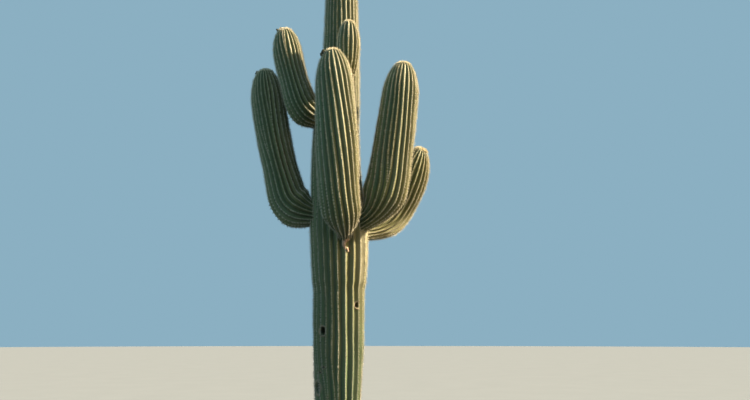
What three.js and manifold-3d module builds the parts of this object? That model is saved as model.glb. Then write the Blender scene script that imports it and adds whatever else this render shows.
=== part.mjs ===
// A saguaro cactus rooted in level ground: one fluted trunk, and six arms that leave it sideways and turn up.
// Millimetres and degrees. +X is right, +Y is away from the viewer, +Z is up.
// The origin is the middle of the flat cut under the trunk, at ground level.
// Every body is a fluted sweep: a ring of crests and grooves that is carried along a centre line.
import * as THREE from "three";
import { mergeVertices } from "three/addons/utils/BufferGeometryUtils.js";
import Module from "manifold-3d";

// Clearance between two bodies that meet
const GAP = 0.4;

// The trunk: its height, its ribs, and how far its axis strays to the left between two heights
const TRUNK_HEIGHT = 6020;
const TRUNK_RIBS = 16;
const TRUNK_DOME = 400;
const TRUNK_RING_STEP = 245;
const TRUNK_STRAY = { offset: -42, from: 2350, to: 4550 };

// The trunk's radius over its crests, from the flared foot to the foot of its dome
const TRUNK_GIRTH = [
  { place: "flared foot", height: 0, radius: 234 },
  { place: "ankle", height: 340, radius: 206 },
  { place: "low waist", height: 800, radius: 203 },
  { place: "lower swelling", height: 1500, radius: 241 },
  { place: "old frost ring", height: 1950, radius: 245 },
  { place: "shoulder under the arms", height: 2330, radius: 275 },
  { place: "widest, at the arms", height: 2600, radius: 283 },
  { place: "above the arms", height: 2980, radius: 257 },
  { place: "middle", height: 3440, radius: 236 },
  { place: "upper arm", height: 3750, radius: 224 },
  { place: "neck", height: 4720, radius: 172 },
  { place: "foot of the dome", height: 5620, radius: 142 },
];

// The arms. bearing is the way an arm leaves the trunk, anticlockwise from +X seen from above.
// The centre line starts on the trunk's axis at the height attach, sets out for a point dip above that height,
// and stands up at its foot, reach out from the axis at the height foot. There it leans outwards by lean
// degrees, and it ends at the height tip, tipOut further out than the foot. veer, swayFoot and swayTip are
// offsets of that point, the foot and the tip to the left of the bearing. neck, elbow, stem and crown are radii
// over the crests.
const ARMS = [
  {
    name: "right_arm", bearing: -20, attach: 2670, dip: -8, reach: 534, foot: 3196, lean: 7.8,
    tipOut: 126, tip: 4300, veer: 0, swayFoot: 0, swayTip: 78, neck: 113, elbow: 212, stem: 194,
    crown: 169,
  },
  {
    name: "right_back_arm", bearing: 22, attach: 2630, dip: -47, reach: 757, foot: 3040, lean: 14.6,
    tipOut: 132, tip: 3531, veer: 0, swayFoot: 110, swayTip: -52, neck: 88, elbow: 143, stem: 179,
    crown: 151,
  },
  {
    name: "left_low_arm", bearing: 181, attach: 2758, dip: 20, reach: 515, foot: 2996, lean: 16,
    tipOut: 244, tip: 4265, veer: 0, swayFoot: -22, swayTip: 33, neck: 118, elbow: 200, stem: 168,
    crown: 167,
  },
  {
    name: "left_high_arm", bearing: 210, attach: 3714, dip: 17, reach: 420, foot: 3920, lean: 18.6,
    tipOut: 141, tip: 4626, veer: 0, swayFoot: 0, swayTip: -70, neck: 100, elbow: 163, stem: 139,
    crown: 148,
  },
  {
    name: "front_arm", bearing: -76, attach: 2440, dip: 156, reach: 500, foot: 2975, lean: 3.6,
    tipOut: -23, tip: 4292, veer: 122, swayFoot: -111, swayTip: -176, neck: 70, elbow: 180, stem: 198,
    crown: 168,
  },
  {
    name: "high_front_arm", bearing: -70, attach: 4060, dip: 100, reach: 330, foot: 4330, lean: 0,
    tipOut: 0, tip: 4670, veer: 0, swayFoot: -5, swayTip: -5, neck: 74, elbow: 88, stem: 111,
    crown: 116,
  },
];
const ARM_RIBS = 14;
const ELBOW_RINGS = 7;
const STEM_RINGS = 7;
// Control points of the elbow: the share of the reach where the point dip above attach stands, and the share of
// the rise that it runs upright
const LEVEL_SHARE = 0.72;
const UPRIGHT_SHARE = 0.62;
// Where along an arm's elbow the neck ends and the full elbow is reached, and where up the stem it is full
const NECK_END = 0.38;
const ELBOW_FULL = 0.7;
const STEM_FULL = 0.25;

// Flutes and domes: groove depth and dome height as shares of the radius, and the dome's outline
const GROOVE_SHARE = 0.15;
const DOME_PER_RADIUS = 2.1;
const DOME_ROUNDNESS = 1.8;
const DOME_BLUNTNESS = 0.4;
const DOME_RINGS = [0.3, 0.55, 0.76, 0.9, 0.98];

const UP = new THREE.Vector3(0, 0, 1);

// Share of the full radius at a place on a dome, from 0 at its foot to 1 at its tip
function domeShare(place) {
  return (1 - place ** DOME_ROUNDNESS) ** DOME_BLUNTNESS;
}

// Smooth value between stations of { at, value }, level at both ends
function smoothBetween(stations, at) {
  const next = stations.findIndex((station) => station.at >= at);
  if (next === 0) return stations[0].value;
  if (next === -1) return stations[stations.length - 1].value;
  const low = stations[next - 1];
  const high = stations[next];
  const share = THREE.MathUtils.smoothstep(at, low.at, high.at);
  return low.value + (high.value - low.value) * (share + (at - low.at) / (high.at - low.at)) / 2;
}

// Closed fluted body: each station is { centre, along, radius }, and side is the direction of its first crest
function flutedSweep(stations, ribs, side, swell = 0) {
  const corners = 2 * ribs;
  const positions = [];
  for (const { centre, along, radius } of stations) {
    const across = side.clone().addScaledVector(along, -side.dot(along)).normalize();
    const over = new THREE.Vector3().crossVectors(along, across);
    for (let corner = 0; corner < corners; corner++) {
      const angle = (corner / corners) * 2 * Math.PI;
      const reach = radius * (corner % 2 ? 1 - GROOVE_SHARE : 1) + swell;
      const point = centre.clone();
      point.addScaledVector(across, reach * Math.cos(angle)).addScaledVector(over, reach * Math.sin(angle));
      positions.push(point.x, point.y, point.z);
    }
  }
  const first = positions.length / 3;
  const last = first + 1;
  for (const { centre } of [stations[0], stations[stations.length - 1]]) {
    positions.push(centre.x, centre.y, centre.z);
  }
  const faces = [];
  const topRing = (stations.length - 1) * corners;
  for (let corner = 0; corner < corners; corner++) {
    const next = (corner + 1) % corners;
    faces.push(first, next, corner);
    faces.push(last, topRing + corner, topRing + next);
    for (let ring = 0; ring < topRing; ring += corners) {
      faces.push(ring + corner, ring + next, ring + corners + next);
      faces.push(ring + corner, ring + corners + next, ring + corners + corner);
    }
  }
  const geometry = new THREE.BufferGeometry();
  geometry.setAttribute("position", new THREE.Float32BufferAttribute(positions, 3));
  geometry.setIndex(faces);
  return geometry;
}

// Centre of the trunk at a height: upright, but for a smooth stray to the left
function trunkCentre(height) {
  const { offset, from, to } = TRUNK_STRAY;
  const share = THREE.MathUtils.clamp((height - from) / (to - from), 0, 1);
  return new THREE.Vector3(offset * Math.sin(Math.PI * share) ** 2, 0, height);
}

// Stations of the trunk, from the ground to the tip of its dome
function trunkStations() {
  const girth = TRUNK_GIRTH.map(({ height, radius }) => ({ at: height, value: radius }));
  const domeFoot = TRUNK_HEIGHT - TRUNK_DOME;
  const count = Math.round(domeFoot / TRUNK_RING_STEP);
  const heights = Array.from({ length: count + 1 }, (_, ring) => (ring / count) * domeFoot);
  const shaft = heights.map((height) => ({ height, share: 1 }));
  const dome = DOME_RINGS.map((place) => ({ height: domeFoot + place * TRUNK_DOME, share: domeShare(place) }));
  return [...shaft, ...dome].map(({ height, share }) => ({
    centre: trunkCentre(height),
    along: UP,
    radius: smoothBetween(girth, height) * share,
  }));
}

// Centre line of an arm as two curves: the elbow, from the trunk's axis to the foot, and the stem, to the tip
function armCurves(arm) {
  const bearing = THREE.MathUtils.degToRad(arm.bearing);
  const out = new THREE.Vector3(Math.cos(bearing), Math.sin(bearing), 0);
  const left = new THREE.Vector3().crossVectors(UP, out);
  const lean = THREE.MathUtils.degToRad(arm.lean);
  const start = trunkCentre(arm.attach);
  const foot = start.clone().setZ(arm.foot).addScaledVector(out, arm.reach).addScaledVector(left, arm.swayFoot);
  const tip = foot.clone().setZ(arm.tip).addScaledVector(out, arm.tipOut);
  tip.addScaledVector(left, arm.swayTip - arm.swayFoot);
  const stand = new THREE.Vector3().addScaledVector(out, Math.sin(lean)).addScaledVector(UP, Math.cos(lean));
  stand.addScaledVector(left, (arm.swayTip - arm.swayFoot) / (arm.tip - arm.foot)).normalize();
  const level = start.clone().lerp(foot, LEVEL_SHARE).setZ(arm.attach + arm.dip);
  level.addScaledVector(left, arm.veer);
  const upright = foot.clone().addScaledVector(stand, -(arm.foot - arm.attach) * UPRIGHT_SHARE);
  const middle = foot.clone().addScaledVector(stand, (arm.tip - arm.foot) / 2);
  return {
    left,
    elbow: new THREE.CubicBezierCurve3(start, level, upright, foot),
    stem: new THREE.QuadraticBezierCurve3(foot, middle, tip),
  };
}

// The elbow and the stem of an arm, each as stations along its own curve
function armStations(arm) {
  const { left, elbow, stem } = armCurves(arm);
  const elbowLength = elbow.getLength();
  const stemLength = stem.getLength();
  const domeLength = arm.crown * DOME_PER_RADIUS;
  const girth = [
    { at: NECK_END * elbowLength, value: arm.neck },
    { at: ELBOW_FULL * elbowLength, value: arm.elbow },
    { at: elbowLength + STEM_FULL * stemLength, value: arm.stem },
    { at: elbowLength + stemLength, value: arm.crown },
  ];
  const station = (curve, before, length, along, share = 1) => ({
    centre: curve.getPointAt(along / length),
    along: curve.getTangentAt(along / length),
    radius: smoothBetween(girth, before + along) * share,
  });
  const bend = [];
  for (let ring = 0; ring <= ELBOW_RINGS; ring++) {
    bend.push(station(elbow, 0, elbowLength, (ring / ELBOW_RINGS) * elbowLength));
  }
  const straight = [];
  const shaft = stemLength - domeLength;
  for (let ring = 0; ring <= STEM_RINGS; ring++) {
    const along = THREE.MathUtils.lerp(GAP, shaft, ring / STEM_RINGS);
    straight.push(station(stem, elbowLength, stemLength, along));
  }
  for (const place of DOME_RINGS) {
    straight.push(station(stem, elbowLength, stemLength, shaft + place * domeLength, domeShare(place)));
  }
  return { left, bend, straight };
}

const wasm = await Module();
wasm.setup();

// A closed geometry as a solid that can be cut
function solidOf(geometry) {
  const bare = new THREE.BufferGeometry();
  bare.setAttribute("position", geometry.getAttribute("position"));
  bare.setIndex(geometry.getIndex());
  const merged = mergeVertices(bare);
  const vertProperties = new Float32Array(merged.getAttribute("position").array);
  return new wasm.Manifold(new wasm.Mesh({
    numProp: 3,
    vertProperties,
    triVerts: new Uint32Array(merged.getIndex().array),
  }));
}

// A cut solid as a geometry
function geometryOf(solid) {
  const { vertProperties, triVerts } = solid.getMesh();
  const geometry = new THREE.BufferGeometry();
  geometry.setAttribute("position", new THREE.BufferAttribute(vertProperties, 3));
  geometry.setIndex(new THREE.BufferAttribute(triVerts, 1));
  return geometry;
}

const skin = new THREE.MeshStandardMaterial({ name: "cactus_skin", color: 0x5c7150, roughness: 0.75 });
const cactus = new THREE.Group();

function addBody(name, geometry) {
  geometry.computeVertexNormals();
  const mesh = new THREE.Mesh(geometry, skin);
  mesh.name = name;
  cactus.add(mesh);
}

const crestSide = new THREE.Vector3(1, 0, 0);
addBody("trunk", flutedSweep(trunkStations(), TRUNK_RIBS, crestSide));

// Each elbow is cut back to the trunk's flutes
const trunkRoom = solidOf(flutedSweep(trunkStations(), TRUNK_RIBS, crestSide, GAP));
for (const arm of ARMS) {
  const { left, bend, straight } = armStations(arm);
  const elbow = solidOf(flutedSweep(bend, ARM_RIBS, left)).subtract(trunkRoom);
  addBody(`${arm.name}_elbow`, geometryOf(elbow));
  addBody(`${arm.name}_stem`, flutedSweep(straight, ARM_RIBS, left));
}

export default cactus;
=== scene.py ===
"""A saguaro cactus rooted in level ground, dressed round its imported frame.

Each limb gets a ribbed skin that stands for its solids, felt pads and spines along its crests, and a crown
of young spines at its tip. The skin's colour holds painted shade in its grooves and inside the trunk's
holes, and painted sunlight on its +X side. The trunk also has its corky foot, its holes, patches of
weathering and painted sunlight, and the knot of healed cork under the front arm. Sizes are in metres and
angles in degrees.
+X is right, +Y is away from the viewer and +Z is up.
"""

from __future__ import annotations

import logging
import math
from collections.abc import Sequence
from dataclasses import dataclass, field
from enum import Enum

import bmesh
import bpy
import numpy as np
from mathutils import Matrix, Vector, noise

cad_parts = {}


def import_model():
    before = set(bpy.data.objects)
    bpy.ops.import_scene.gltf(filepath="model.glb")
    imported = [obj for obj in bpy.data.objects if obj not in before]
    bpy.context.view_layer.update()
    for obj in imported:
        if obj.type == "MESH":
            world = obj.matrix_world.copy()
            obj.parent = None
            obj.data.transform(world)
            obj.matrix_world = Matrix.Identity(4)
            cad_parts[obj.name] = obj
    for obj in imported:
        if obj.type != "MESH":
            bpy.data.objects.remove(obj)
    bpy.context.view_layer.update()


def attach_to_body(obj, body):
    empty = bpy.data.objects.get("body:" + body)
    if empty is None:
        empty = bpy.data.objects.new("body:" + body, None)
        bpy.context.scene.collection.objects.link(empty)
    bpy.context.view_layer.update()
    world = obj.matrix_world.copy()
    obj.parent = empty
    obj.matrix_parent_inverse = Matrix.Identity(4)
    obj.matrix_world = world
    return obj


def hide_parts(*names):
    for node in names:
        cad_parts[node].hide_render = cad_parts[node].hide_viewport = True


LOG = logging.getLogger("saguaro")

Array = np.ndarray
Triple = tuple[float, float, float]
Colour = tuple[float, float, float]
Span = tuple[float, float]
Socket = bpy.types.NodeSocket

BODY = "root"
UV_MAP = "OFBake"
MOST_TRIANGLES = 180_000
SIDE = np.array([1.0, 0.0, 0.0])
UP = np.array([0.0, 0.0, 1.0])
FULL: Span = (0.0, 1.0)
# A length that counts as none, and a place beyond every limb's tip
NO_LENGTH = 1e-12
NEVER = 1e3


class Slot(Enum):
    """The record's material slots."""

    TRUNK = "trunk_skin"
    ARM = "arm_skin"


class Age(Enum):
    """How old the skin under a spine cluster is."""

    YOUNG = 0
    MATURE = 1
    OLD = 2


class Mark(Enum):
    """The float attributes that a skin's finish reads."""

    CREST = "crest"
    BARK = "bark"
    SCAR = "scar"
    # Painted shade inside a hole.
    PAINTED_HOLE_SHADE = "hollow"
    # Patches of weathering and painted sunlight on the trunk's +X side.
    WEAR_AND_PAINTED_SUN = "worn"
    # Painted sunlight on the +X side, which fades to painted shadow low on the trunk.
    PAINTED_SUNLIGHT = "sunned"


def unit(vectors: Array) -> Array:
    """Rows of vectors at length one."""
    return vectors / np.maximum(np.linalg.norm(vectors, axis=-1, keepdims=True), NO_LENGTH)


def smooth(share: Array | float) -> Array:
    """Shares from 0 to 1, eased at both ends."""
    held = np.clip(share, 0.0, 1.0)
    return held * held * (3.0 - 2.0 * held)


def facing(bearing: float) -> Vector:
    """The level direction of a bearing, anticlockwise from +X seen from above."""
    turn = math.radians(bearing)
    return Vector((math.cos(turn), math.sin(turn), 0.0))


def keep_piece(obj: bpy.types.Object, replaced: Sequence[str] = ()) -> bpy.types.Object:
    """Lets a finished piece ride on the plant's one body.

    Args:
        obj: the piece, in place.
        replaced: the frame's nodes that it stands for.

    Returns:
        The same piece.
    """
    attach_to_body(obj, BODY)
    if replaced:
        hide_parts(*replaced)
    obj.data.calc_loop_triangles()
    LOG.info("%s: %d triangles", obj.name, len(obj.data.loop_triangles))
    return obj


def linked_object(name: str, mesh: bpy.types.Mesh) -> bpy.types.Object:
    """A mesh as an object in the scene, at the origin.

    Args:
        name: the object's name.
        mesh: the mesh.

    Returns:
        The object.
    """
    obj = bpy.data.objects.new(name, mesh)
    bpy.context.scene.collection.objects.link(obj)
    return obj


def smooth_object(name: str, body: bmesh.types.BMesh, finish: bpy.types.Material) -> bpy.types.Object:
    """A bmesh, which is freed, as an object with smooth shading.

    Args:
        name: the object's name.
        body: its shape.
        finish: its material.

    Returns:
        The object.
    """
    mesh = bpy.data.meshes.new(name)
    body.to_mesh(mesh)
    body.free()
    mesh.materials.append(finish)
    mesh.shade_smooth()
    return linked_object(name, mesh)


# Finishes


@dataclass(frozen=True)
class Cloud:
    """Cloudy noise on an object's coordinates.

    Attributes:
        detail: how many finer layers it has.
        scale: how fine it is.
        roughness: how strong its finer layers are.
        stretch: how fine it is along each axis, if it isn't even.
        span: the part of its range that is spread over 0 to 1, if not all.
    """

    detail: float
    scale: float = 1.0
    roughness: float = 0.55
    stretch: Triple | None = None
    span: Span | None = None


class NodeBench:
    """A material under construction, with short ways to add and join its nodes."""

    def __init__(self, name: str) -> None:
        """Starts a material that holds only its surface shader.

        Args:
            name: the material's name.
        """
        self.material = bpy.data.materials.new(name)
        self.material.use_nodes = True
        self.tree = self.material.node_tree
        self.tree.nodes.clear()
        output = self.tree.nodes.new("ShaderNodeOutputMaterial")
        self.shader = self.tree.nodes.new("ShaderNodeBsdfPrincipled")
        self.give(output.inputs["Surface"], self.shader.outputs["BSDF"])

    def give(self, target: Socket, value: Socket | Colour | float) -> None:
        """Gives an input what it reads or holds.

        Args:
            target: the input.
            value: an output to read, or a colour or number to hold.
        """
        if isinstance(value, Socket):
            self.tree.links.new(value, target)
        elif isinstance(value, tuple):
            target.default_value = (*value, 1.0)
        else:
            target.default_value = value

    def dress(self, name: str, value: Socket | Colour | float) -> None:
        """Gives the surface shader's named input what it reads or holds."""
        self.give(self.shader.inputs[name], value)

    def place(self, stretch: Triple | None = None) -> Socket:
        """The object's own coordinates.

        Args:
            stretch: a number to scale each of them by, if any.

        Returns:
            The coordinates.
        """
        spot = self.tree.nodes.new("ShaderNodeTexCoord").outputs["Object"]
        if stretch is None:
            return spot
        mapping = self.tree.nodes.new("ShaderNodeMapping")
        mapping.inputs["Scale"].default_value = stretch
        self.give(mapping.inputs["Vector"], spot)
        return mapping.outputs["Vector"]

    def mark(self, mark: Mark) -> Socket:
        """A float attribute of the skin.

        Args:
            mark: which one.

        Returns:
            Its value.
        """
        node = self.tree.nodes.new("ShaderNodeAttribute")
        node.attribute_name = mark.value
        return node.outputs["Fac"]

    def cloud(self, cloud: Cloud) -> Socket:
        """Cloudy noise.

        Args:
            cloud: how it looks.

        Returns:
            A value from 0 to 1.
        """
        node = self.tree.nodes.new("ShaderNodeTexNoise")
        self.give(node.inputs["Scale"], cloud.scale)
        self.give(node.inputs["Detail"], cloud.detail)
        self.give(node.inputs["Roughness"], cloud.roughness)
        self.give(node.inputs["Vector"], self.place(cloud.stretch))
        if cloud.span is None:
            return node.outputs["Fac"]
        return self.remap(node.outputs["Fac"], cloud.span)

    def cracks(self, stretch: Triple) -> Socket:
        """Cells with cracks between them.

        Args:
            stretch: how fine they are along each axis.

        Returns:
            The distance to a cell's edge, which is 0 in a crack.
        """
        node = self.tree.nodes.new("ShaderNodeTexVoronoi")
        node.feature = "DISTANCE_TO_EDGE"
        self.give(node.inputs["Scale"], 1.0)
        self.give(node.inputs["Vector"], self.place(stretch))
        return node.outputs["Distance"]

    def remap(self, source: Socket, span: Span, onto: Span = FULL) -> Socket:
        """A part of a value's range, spread over another range and held there.

        Args:
            source: the value.
            span: the part of its range.
            onto: the range that this is spread over.

        Returns:
            The new value.
        """
        node = self.tree.nodes.new("ShaderNodeMapRange")
        self.give(node.inputs["From Min"], span[0])
        self.give(node.inputs["From Max"], span[1])
        self.give(node.inputs["To Min"], onto[0])
        self.give(node.inputs["To Max"], onto[1])
        self.give(node.inputs["Value"], source)
        return node.outputs["Result"]

    def maths(self, operation: str, first: Socket, second: Socket | float) -> Socket:
        """Two values joined by an operation, held between 0 and 1.

        Args:
            operation: the operation's name.
            first: a value.
            second: another value, or a number.

        Returns:
            The new value.
        """
        node = self.tree.nodes.new("ShaderNodeMath")
        node.operation = operation
        node.use_clamp = True
        self.give(node.inputs[0], first)
        self.give(node.inputs[1], second)
        return node.outputs["Value"]

    def times(self, first: Socket, second: Socket | float) -> Socket:
        """The product of two values, held between 0 and 1."""
        return self.maths("MULTIPLY", first, second)

    def plus(self, first: Socket, second: Socket | float) -> Socket:
        """The sum of two values, held between 0 and 1."""
        return self.maths("ADD", first, second)

    def blend(self, amount: Socket, first: Socket | Colour, second: Socket | Colour) -> Socket:
        """A colour between two others.

        Args:
            amount: 0 for the first colour and 1 for the second.
            first: a colour.
            second: another colour.

        Returns:
            The new colour.
        """
        node = self.tree.nodes.new("ShaderNodeMix")
        node.data_type = "RGBA"
        self.give(node.inputs["Factor"], amount)
        self.give(node.inputs["A"], first)
        self.give(node.inputs["B"], second)
        return node.outputs["Result"]

    def bump(
        self, height: Socket, depth: float, strength: float = 1.0, under: Socket | None = None
    ) -> Socket:
        """A bump, which may lie over another.

        Args:
            height: its height, from 0 to 1.
            depth: the height in metres that 1 stands for.
            strength: how strongly it shows.
            under: the bump beneath it, if any.

        Returns:
            The surface normal.
        """
        node = self.tree.nodes.new("ShaderNodeBump")
        self.give(node.inputs["Distance"], depth)
        self.give(node.inputs["Strength"], strength)
        self.give(node.inputs["Height"], height)
        if under is not None:
            self.give(node.inputs["Normal"], under)
        return node.outputs["Normal"]


@dataclass(frozen=True)
class SkinFinish:
    """Waxy green skin, weathered along its crests, with painted shade in the grooves and painted sun on +X.

    Attributes:
        name: the material's name.
        groove: colour of the grooves, darker than the flanks as painted shade; the mottle also darkens
            towards it.
        flank: colour of the ribs' flanks.
        crest: colour of weathered crests, its painted-shade copy for the side away from the sun.
        painted_sunlight_crest: colour of weathered crests, its paler painted-sunlight copy for the +X side.
        tan: colour of dry patches and streaks on the flanks.
        painted_sun_tint: colour of the flanks on the +X side, as painted sunlight.
        painted_sun_tint_groove: colour of the grooves on the +X side, as painted sunlight.
        bark: colour of the plates of bark.
        bark_dark: colour of the cracks between them.
        scar: colour of healed rims.
        hollow: colour inside a hole, near black as painted shade.
        patches: the dry patches.
        mottle: the fine mottling.
        streaks: the streaks up the ribs.
        crumbs: the crumbled parts of the bark.
        pores: the finest relief.
        wrinkles: the wrinkles across the ribs.
        blocks: how fine the plates of bark are along each axis.
        cracks: distances from a plate's edge that the crack between plates spans.
        flank_heights: heights over the groove between which its colour turns to the flank's.
        crest_heights: heights between which the skin turns weathered.
        wear_and_painted_sun_share: how strongly weathered crests and the patches of weathering and painted
            sunlight show, where the mottle is lowest and highest.
        bark_waver: how far the mottle shifts the bark's upper edge.
        bark_edge: the mark's values between which skin turns to bark.
        patch_share: how strongly the patches show.
        mottle_share: how strongly the mottle shows.
        painted_sunlight_share: how strongly the painted sunlight on the +X side shows.
        streak_share: how strongly the streaks show.
        roughness: the shader's roughness where the mottle is lowest and highest.
        bark_roughness: what bark adds to it.
        pore_depth: depth of the pores.
        pore_strength: how strongly they show.
        wrinkle_depth: depth of the wrinkles.
        wrinkle_strength: how strongly they show.
        cork_depth: depth of the cracks in the bark.
    """

    name: str = "green_skin"
    groove: Colour = (0.021, 0.050, 0.027)
    flank: Colour = (0.059, 0.113, 0.045)
    crest: Colour = (0.205, 0.245, 0.190)
    painted_sunlight_crest: Colour = (0.310, 0.290, 0.205)
    tan: Colour = (0.122, 0.117, 0.056)
    painted_sun_tint: Colour = (0.130, 0.118, 0.034)
    painted_sun_tint_groove: Colour = (0.066, 0.060, 0.019)
    bark: Colour = (0.150, 0.130, 0.100)
    bark_dark: Colour = (0.066, 0.053, 0.040)
    scar: Colour = (0.300, 0.225, 0.150)
    hollow: Colour = (0.010, 0.008, 0.006)
    patches: Cloud = Cloud(scale=2.3, detail=3.0, span=(0.35, 0.68))
    mottle: Cloud = Cloud(scale=46.0, detail=4.0, roughness=0.65, span=(0.30, 0.72))
    streaks: Cloud = Cloud(detail=3.0, roughness=0.6, stretch=(55.0, 55.0, 3.5), span=(0.38, 0.66))
    crumbs: Cloud = Cloud(detail=5.0, roughness=0.7, stretch=(60.0, 60.0, 22.0), span=(0.36, 0.58))
    pores: Cloud = Cloud(scale=240.0, detail=2.0)
    wrinkles: Cloud = Cloud(detail=2.0, roughness=0.5, stretch=(30.0, 30.0, 130.0))
    blocks: Triple = (58.0, 58.0, 27.0)
    cracks: Span = (0.0, 0.14)
    flank_heights: Span = (0.05, 0.62)
    crest_heights: Span = (0.86, 1.0)
    wear_and_painted_sun_share: Span = (0.55, 1.0)
    bark_waver: Span = (-0.25, 0.25)
    bark_edge: Span = (0.42, 0.62)
    patch_share: float = 0.45
    mottle_share: float = 0.22
    painted_sunlight_share: float = 0.80
    streak_share: float = 0.30
    roughness: Span = (0.51, 0.68)
    bark_roughness: float = 0.3
    pore_depth: float = 0.0008
    pore_strength: float = 0.6
    wrinkle_depth: float = 0.0025
    wrinkle_strength: float = 0.5
    cork_depth: float = 0.006

    def material(self) -> bpy.types.Material:
        """The finish as a node material.

        Returns:
            The material, which reads the skin's float attributes and its own coordinates.
        """
        bench = NodeBench(self.name)
        mottle = bench.cloud(self.mottle)
        height = bench.mark(Mark.CREST)
        # Painted sunlight: flanks, grooves and crests turn warmer and paler where the skin faces +X; low on
        # the trunk this fades out as painted shadow.
        sunned = bench.mark(Mark.PAINTED_SUNLIGHT)
        flank = bench.blend(bench.times(bench.cloud(self.patches), self.patch_share), self.flank, self.tan)
        flank = bench.blend(bench.times(mottle, self.mottle_share), flank, self.groove)
        painted_sun_tint = bench.times(sunned, self.painted_sunlight_share)
        flank = bench.blend(painted_sun_tint, flank, self.painted_sun_tint)
        groove = bench.blend(painted_sun_tint, self.groove, self.painted_sun_tint_groove)
        # Painted shade: the grooves are coloured darker than the flanks.
        colour = bench.blend(bench.remap(height, self.flank_heights), groove, flank)
        # Crests weather to a paler colour; the patches, which are partly painted sunlight, take the same
        # colour.
        worn = bench.plus(bench.remap(height, self.crest_heights), bench.mark(Mark.WEAR_AND_PAINTED_SUN))
        worn = bench.times(worn, bench.remap(mottle, FULL, self.wear_and_painted_sun_share))
        # The weathered crest colour comes in a painted-shade copy and a painted-sunlight copy, mixed by the
        # painted sunlight mark.
        crest = bench.blend(sunned, self.crest, self.painted_sunlight_crest)
        colour = bench.blend(worn, colour, crest)
        colour = bench.blend(bench.times(bench.cloud(self.streaks), self.streak_share), colour, self.tan)
        blocks = bench.remap(bench.cracks(self.blocks), self.cracks)
        plates = bench.times(blocks, bench.cloud(self.crumbs))
        edge = bench.plus(bench.mark(Mark.BARK), bench.remap(mottle, FULL, self.bark_waver))
        barked = bench.remap(edge, self.bark_edge)
        colour = bench.blend(barked, colour, bench.blend(plates, self.bark_dark, self.bark))
        colour = bench.blend(bench.mark(Mark.SCAR), colour, bench.blend(mottle, self.scar, self.bark))
        # Painted shade: the inside of each hole is coloured near black.
        bench.dress("Base Color", bench.blend(bench.mark(Mark.PAINTED_HOLE_SHADE), colour, self.hollow))
        rough = bench.remap(mottle, FULL, self.roughness)
        bench.dress("Roughness", bench.plus(rough, bench.times(barked, self.bark_roughness)))
        relief = bench.bump(bench.cloud(self.pores), self.pore_depth, self.pore_strength)
        relief = bench.bump(bench.cloud(self.wrinkles), self.wrinkle_depth, self.wrinkle_strength, relief)
        bench.dress("Normal", bench.bump(bench.times(plates, barked), self.cork_depth, under=relief))
        return bench.material


@dataclass(frozen=True)
class PlainFinish:
    """One plain base colour for a spray of small things, such as spines."""

    name: str
    colour: Colour
    roughness: float = 0.55

    def material(self) -> bpy.types.Material:
        """The finish as a node material.

        Returns:
            The material.
        """
        bench = NodeBench(self.name)
        bench.dress("Base Color", self.colour)
        bench.dress("Roughness", self.roughness)
        return bench.material


@dataclass(frozen=True)
class CorkFinish:
    """Healed cork, knotted and dry.

    Attributes:
        name: the material's name.
        ridge: colour of its ridges.
        hollow: colour of its hollows.
        knots: its knots.
        grain: its finest relief.
        ridges: the knots' values between which a hollow turns to a ridge.
        roughness: the shader's roughness.
        knot_depth: depth of the knots.
        grain_depth: depth of the grain.
        grain_strength: how strongly the grain shows.
    """

    name: str = "healed_cork"
    ridge: Colour = (0.60, 0.42, 0.32)
    hollow: Colour = (0.22, 0.11, 0.07)
    knots: Cloud = Cloud(scale=70.0, detail=4.0, roughness=0.6)
    grain: Cloud = Cloud(scale=260.0, detail=2.0)
    ridges: Span = (0.36, 0.60)
    roughness: float = 0.85
    knot_depth: float = 0.004
    grain_depth: float = 0.001
    grain_strength: float = 0.7

    def material(self) -> bpy.types.Material:
        """The finish as a node material.

        Returns:
            The material.
        """
        bench = NodeBench(self.name)
        knots = bench.cloud(self.knots)
        bench.dress("Base Color", bench.blend(bench.remap(knots, self.ridges), self.hollow, self.ridge))
        bench.dress("Roughness", self.roughness)
        relief = bench.bump(knots, self.knot_depth)
        relief = bench.bump(bench.cloud(self.grain), self.grain_depth, self.grain_strength, relief)
        bench.dress("Normal", relief)
        return bench.material


@dataclass(frozen=True)
class FloorFinish:
    """Plain pale studio floor, matt and without glare.

    Attributes:
        name: the material's name.
        pale: its colour where it is darkest.
        paler: its colour where it is lightest.
        unevenness: the faint clouds between the two.
    """

    name: str = "studio_floor"
    pale: Colour = (0.130, 0.146, 0.167)
    paler: Colour = (0.143, 0.160, 0.183)
    unevenness: Cloud = Cloud(scale=0.8, detail=3.0)

    def material(self) -> bpy.types.Material:
        """The finish as a node material.

        Returns:
            The material.
        """
        bench = NodeBench(self.name)
        bench.dress("Base Color", bench.blend(bench.cloud(self.unevenness), self.pale, self.paler))
        bench.dress("Roughness", 1.0)
        bench.dress("Specular IOR Level", 0.0)
        return bench.material


FELT = (
    PlainFinish("grey_felt", (0.30, 0.27, 0.20), 0.95),
    PlainFinish("brown_felt", (0.20, 0.15, 0.10), 0.95),
)
SPINES = (
    PlainFinish("young_radials", (0.76, 0.71, 0.58)),
    PlainFinish("young_centrals", (0.52, 0.44, 0.30)),
    PlainFinish("mature_radials", (0.62, 0.59, 0.49)),
    PlainFinish("mature_centrals", (0.50, 0.46, 0.36)),
    PlainFinish("old_radials", (0.46, 0.44, 0.36)),
    PlainFinish("old_centrals", (0.30, 0.28, 0.23)),
)
CROWN = (
    PlainFinish("crown_cream", (0.76, 0.71, 0.58)),
    PlainFinish("crown_gold", (0.68, 0.57, 0.38)),
)
DRY_BUD = CorkFinish("dry_bud", ridge=(0.085, 0.075, 0.042), hollow=(0.022, 0.020, 0.012))


# Limbs


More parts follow.
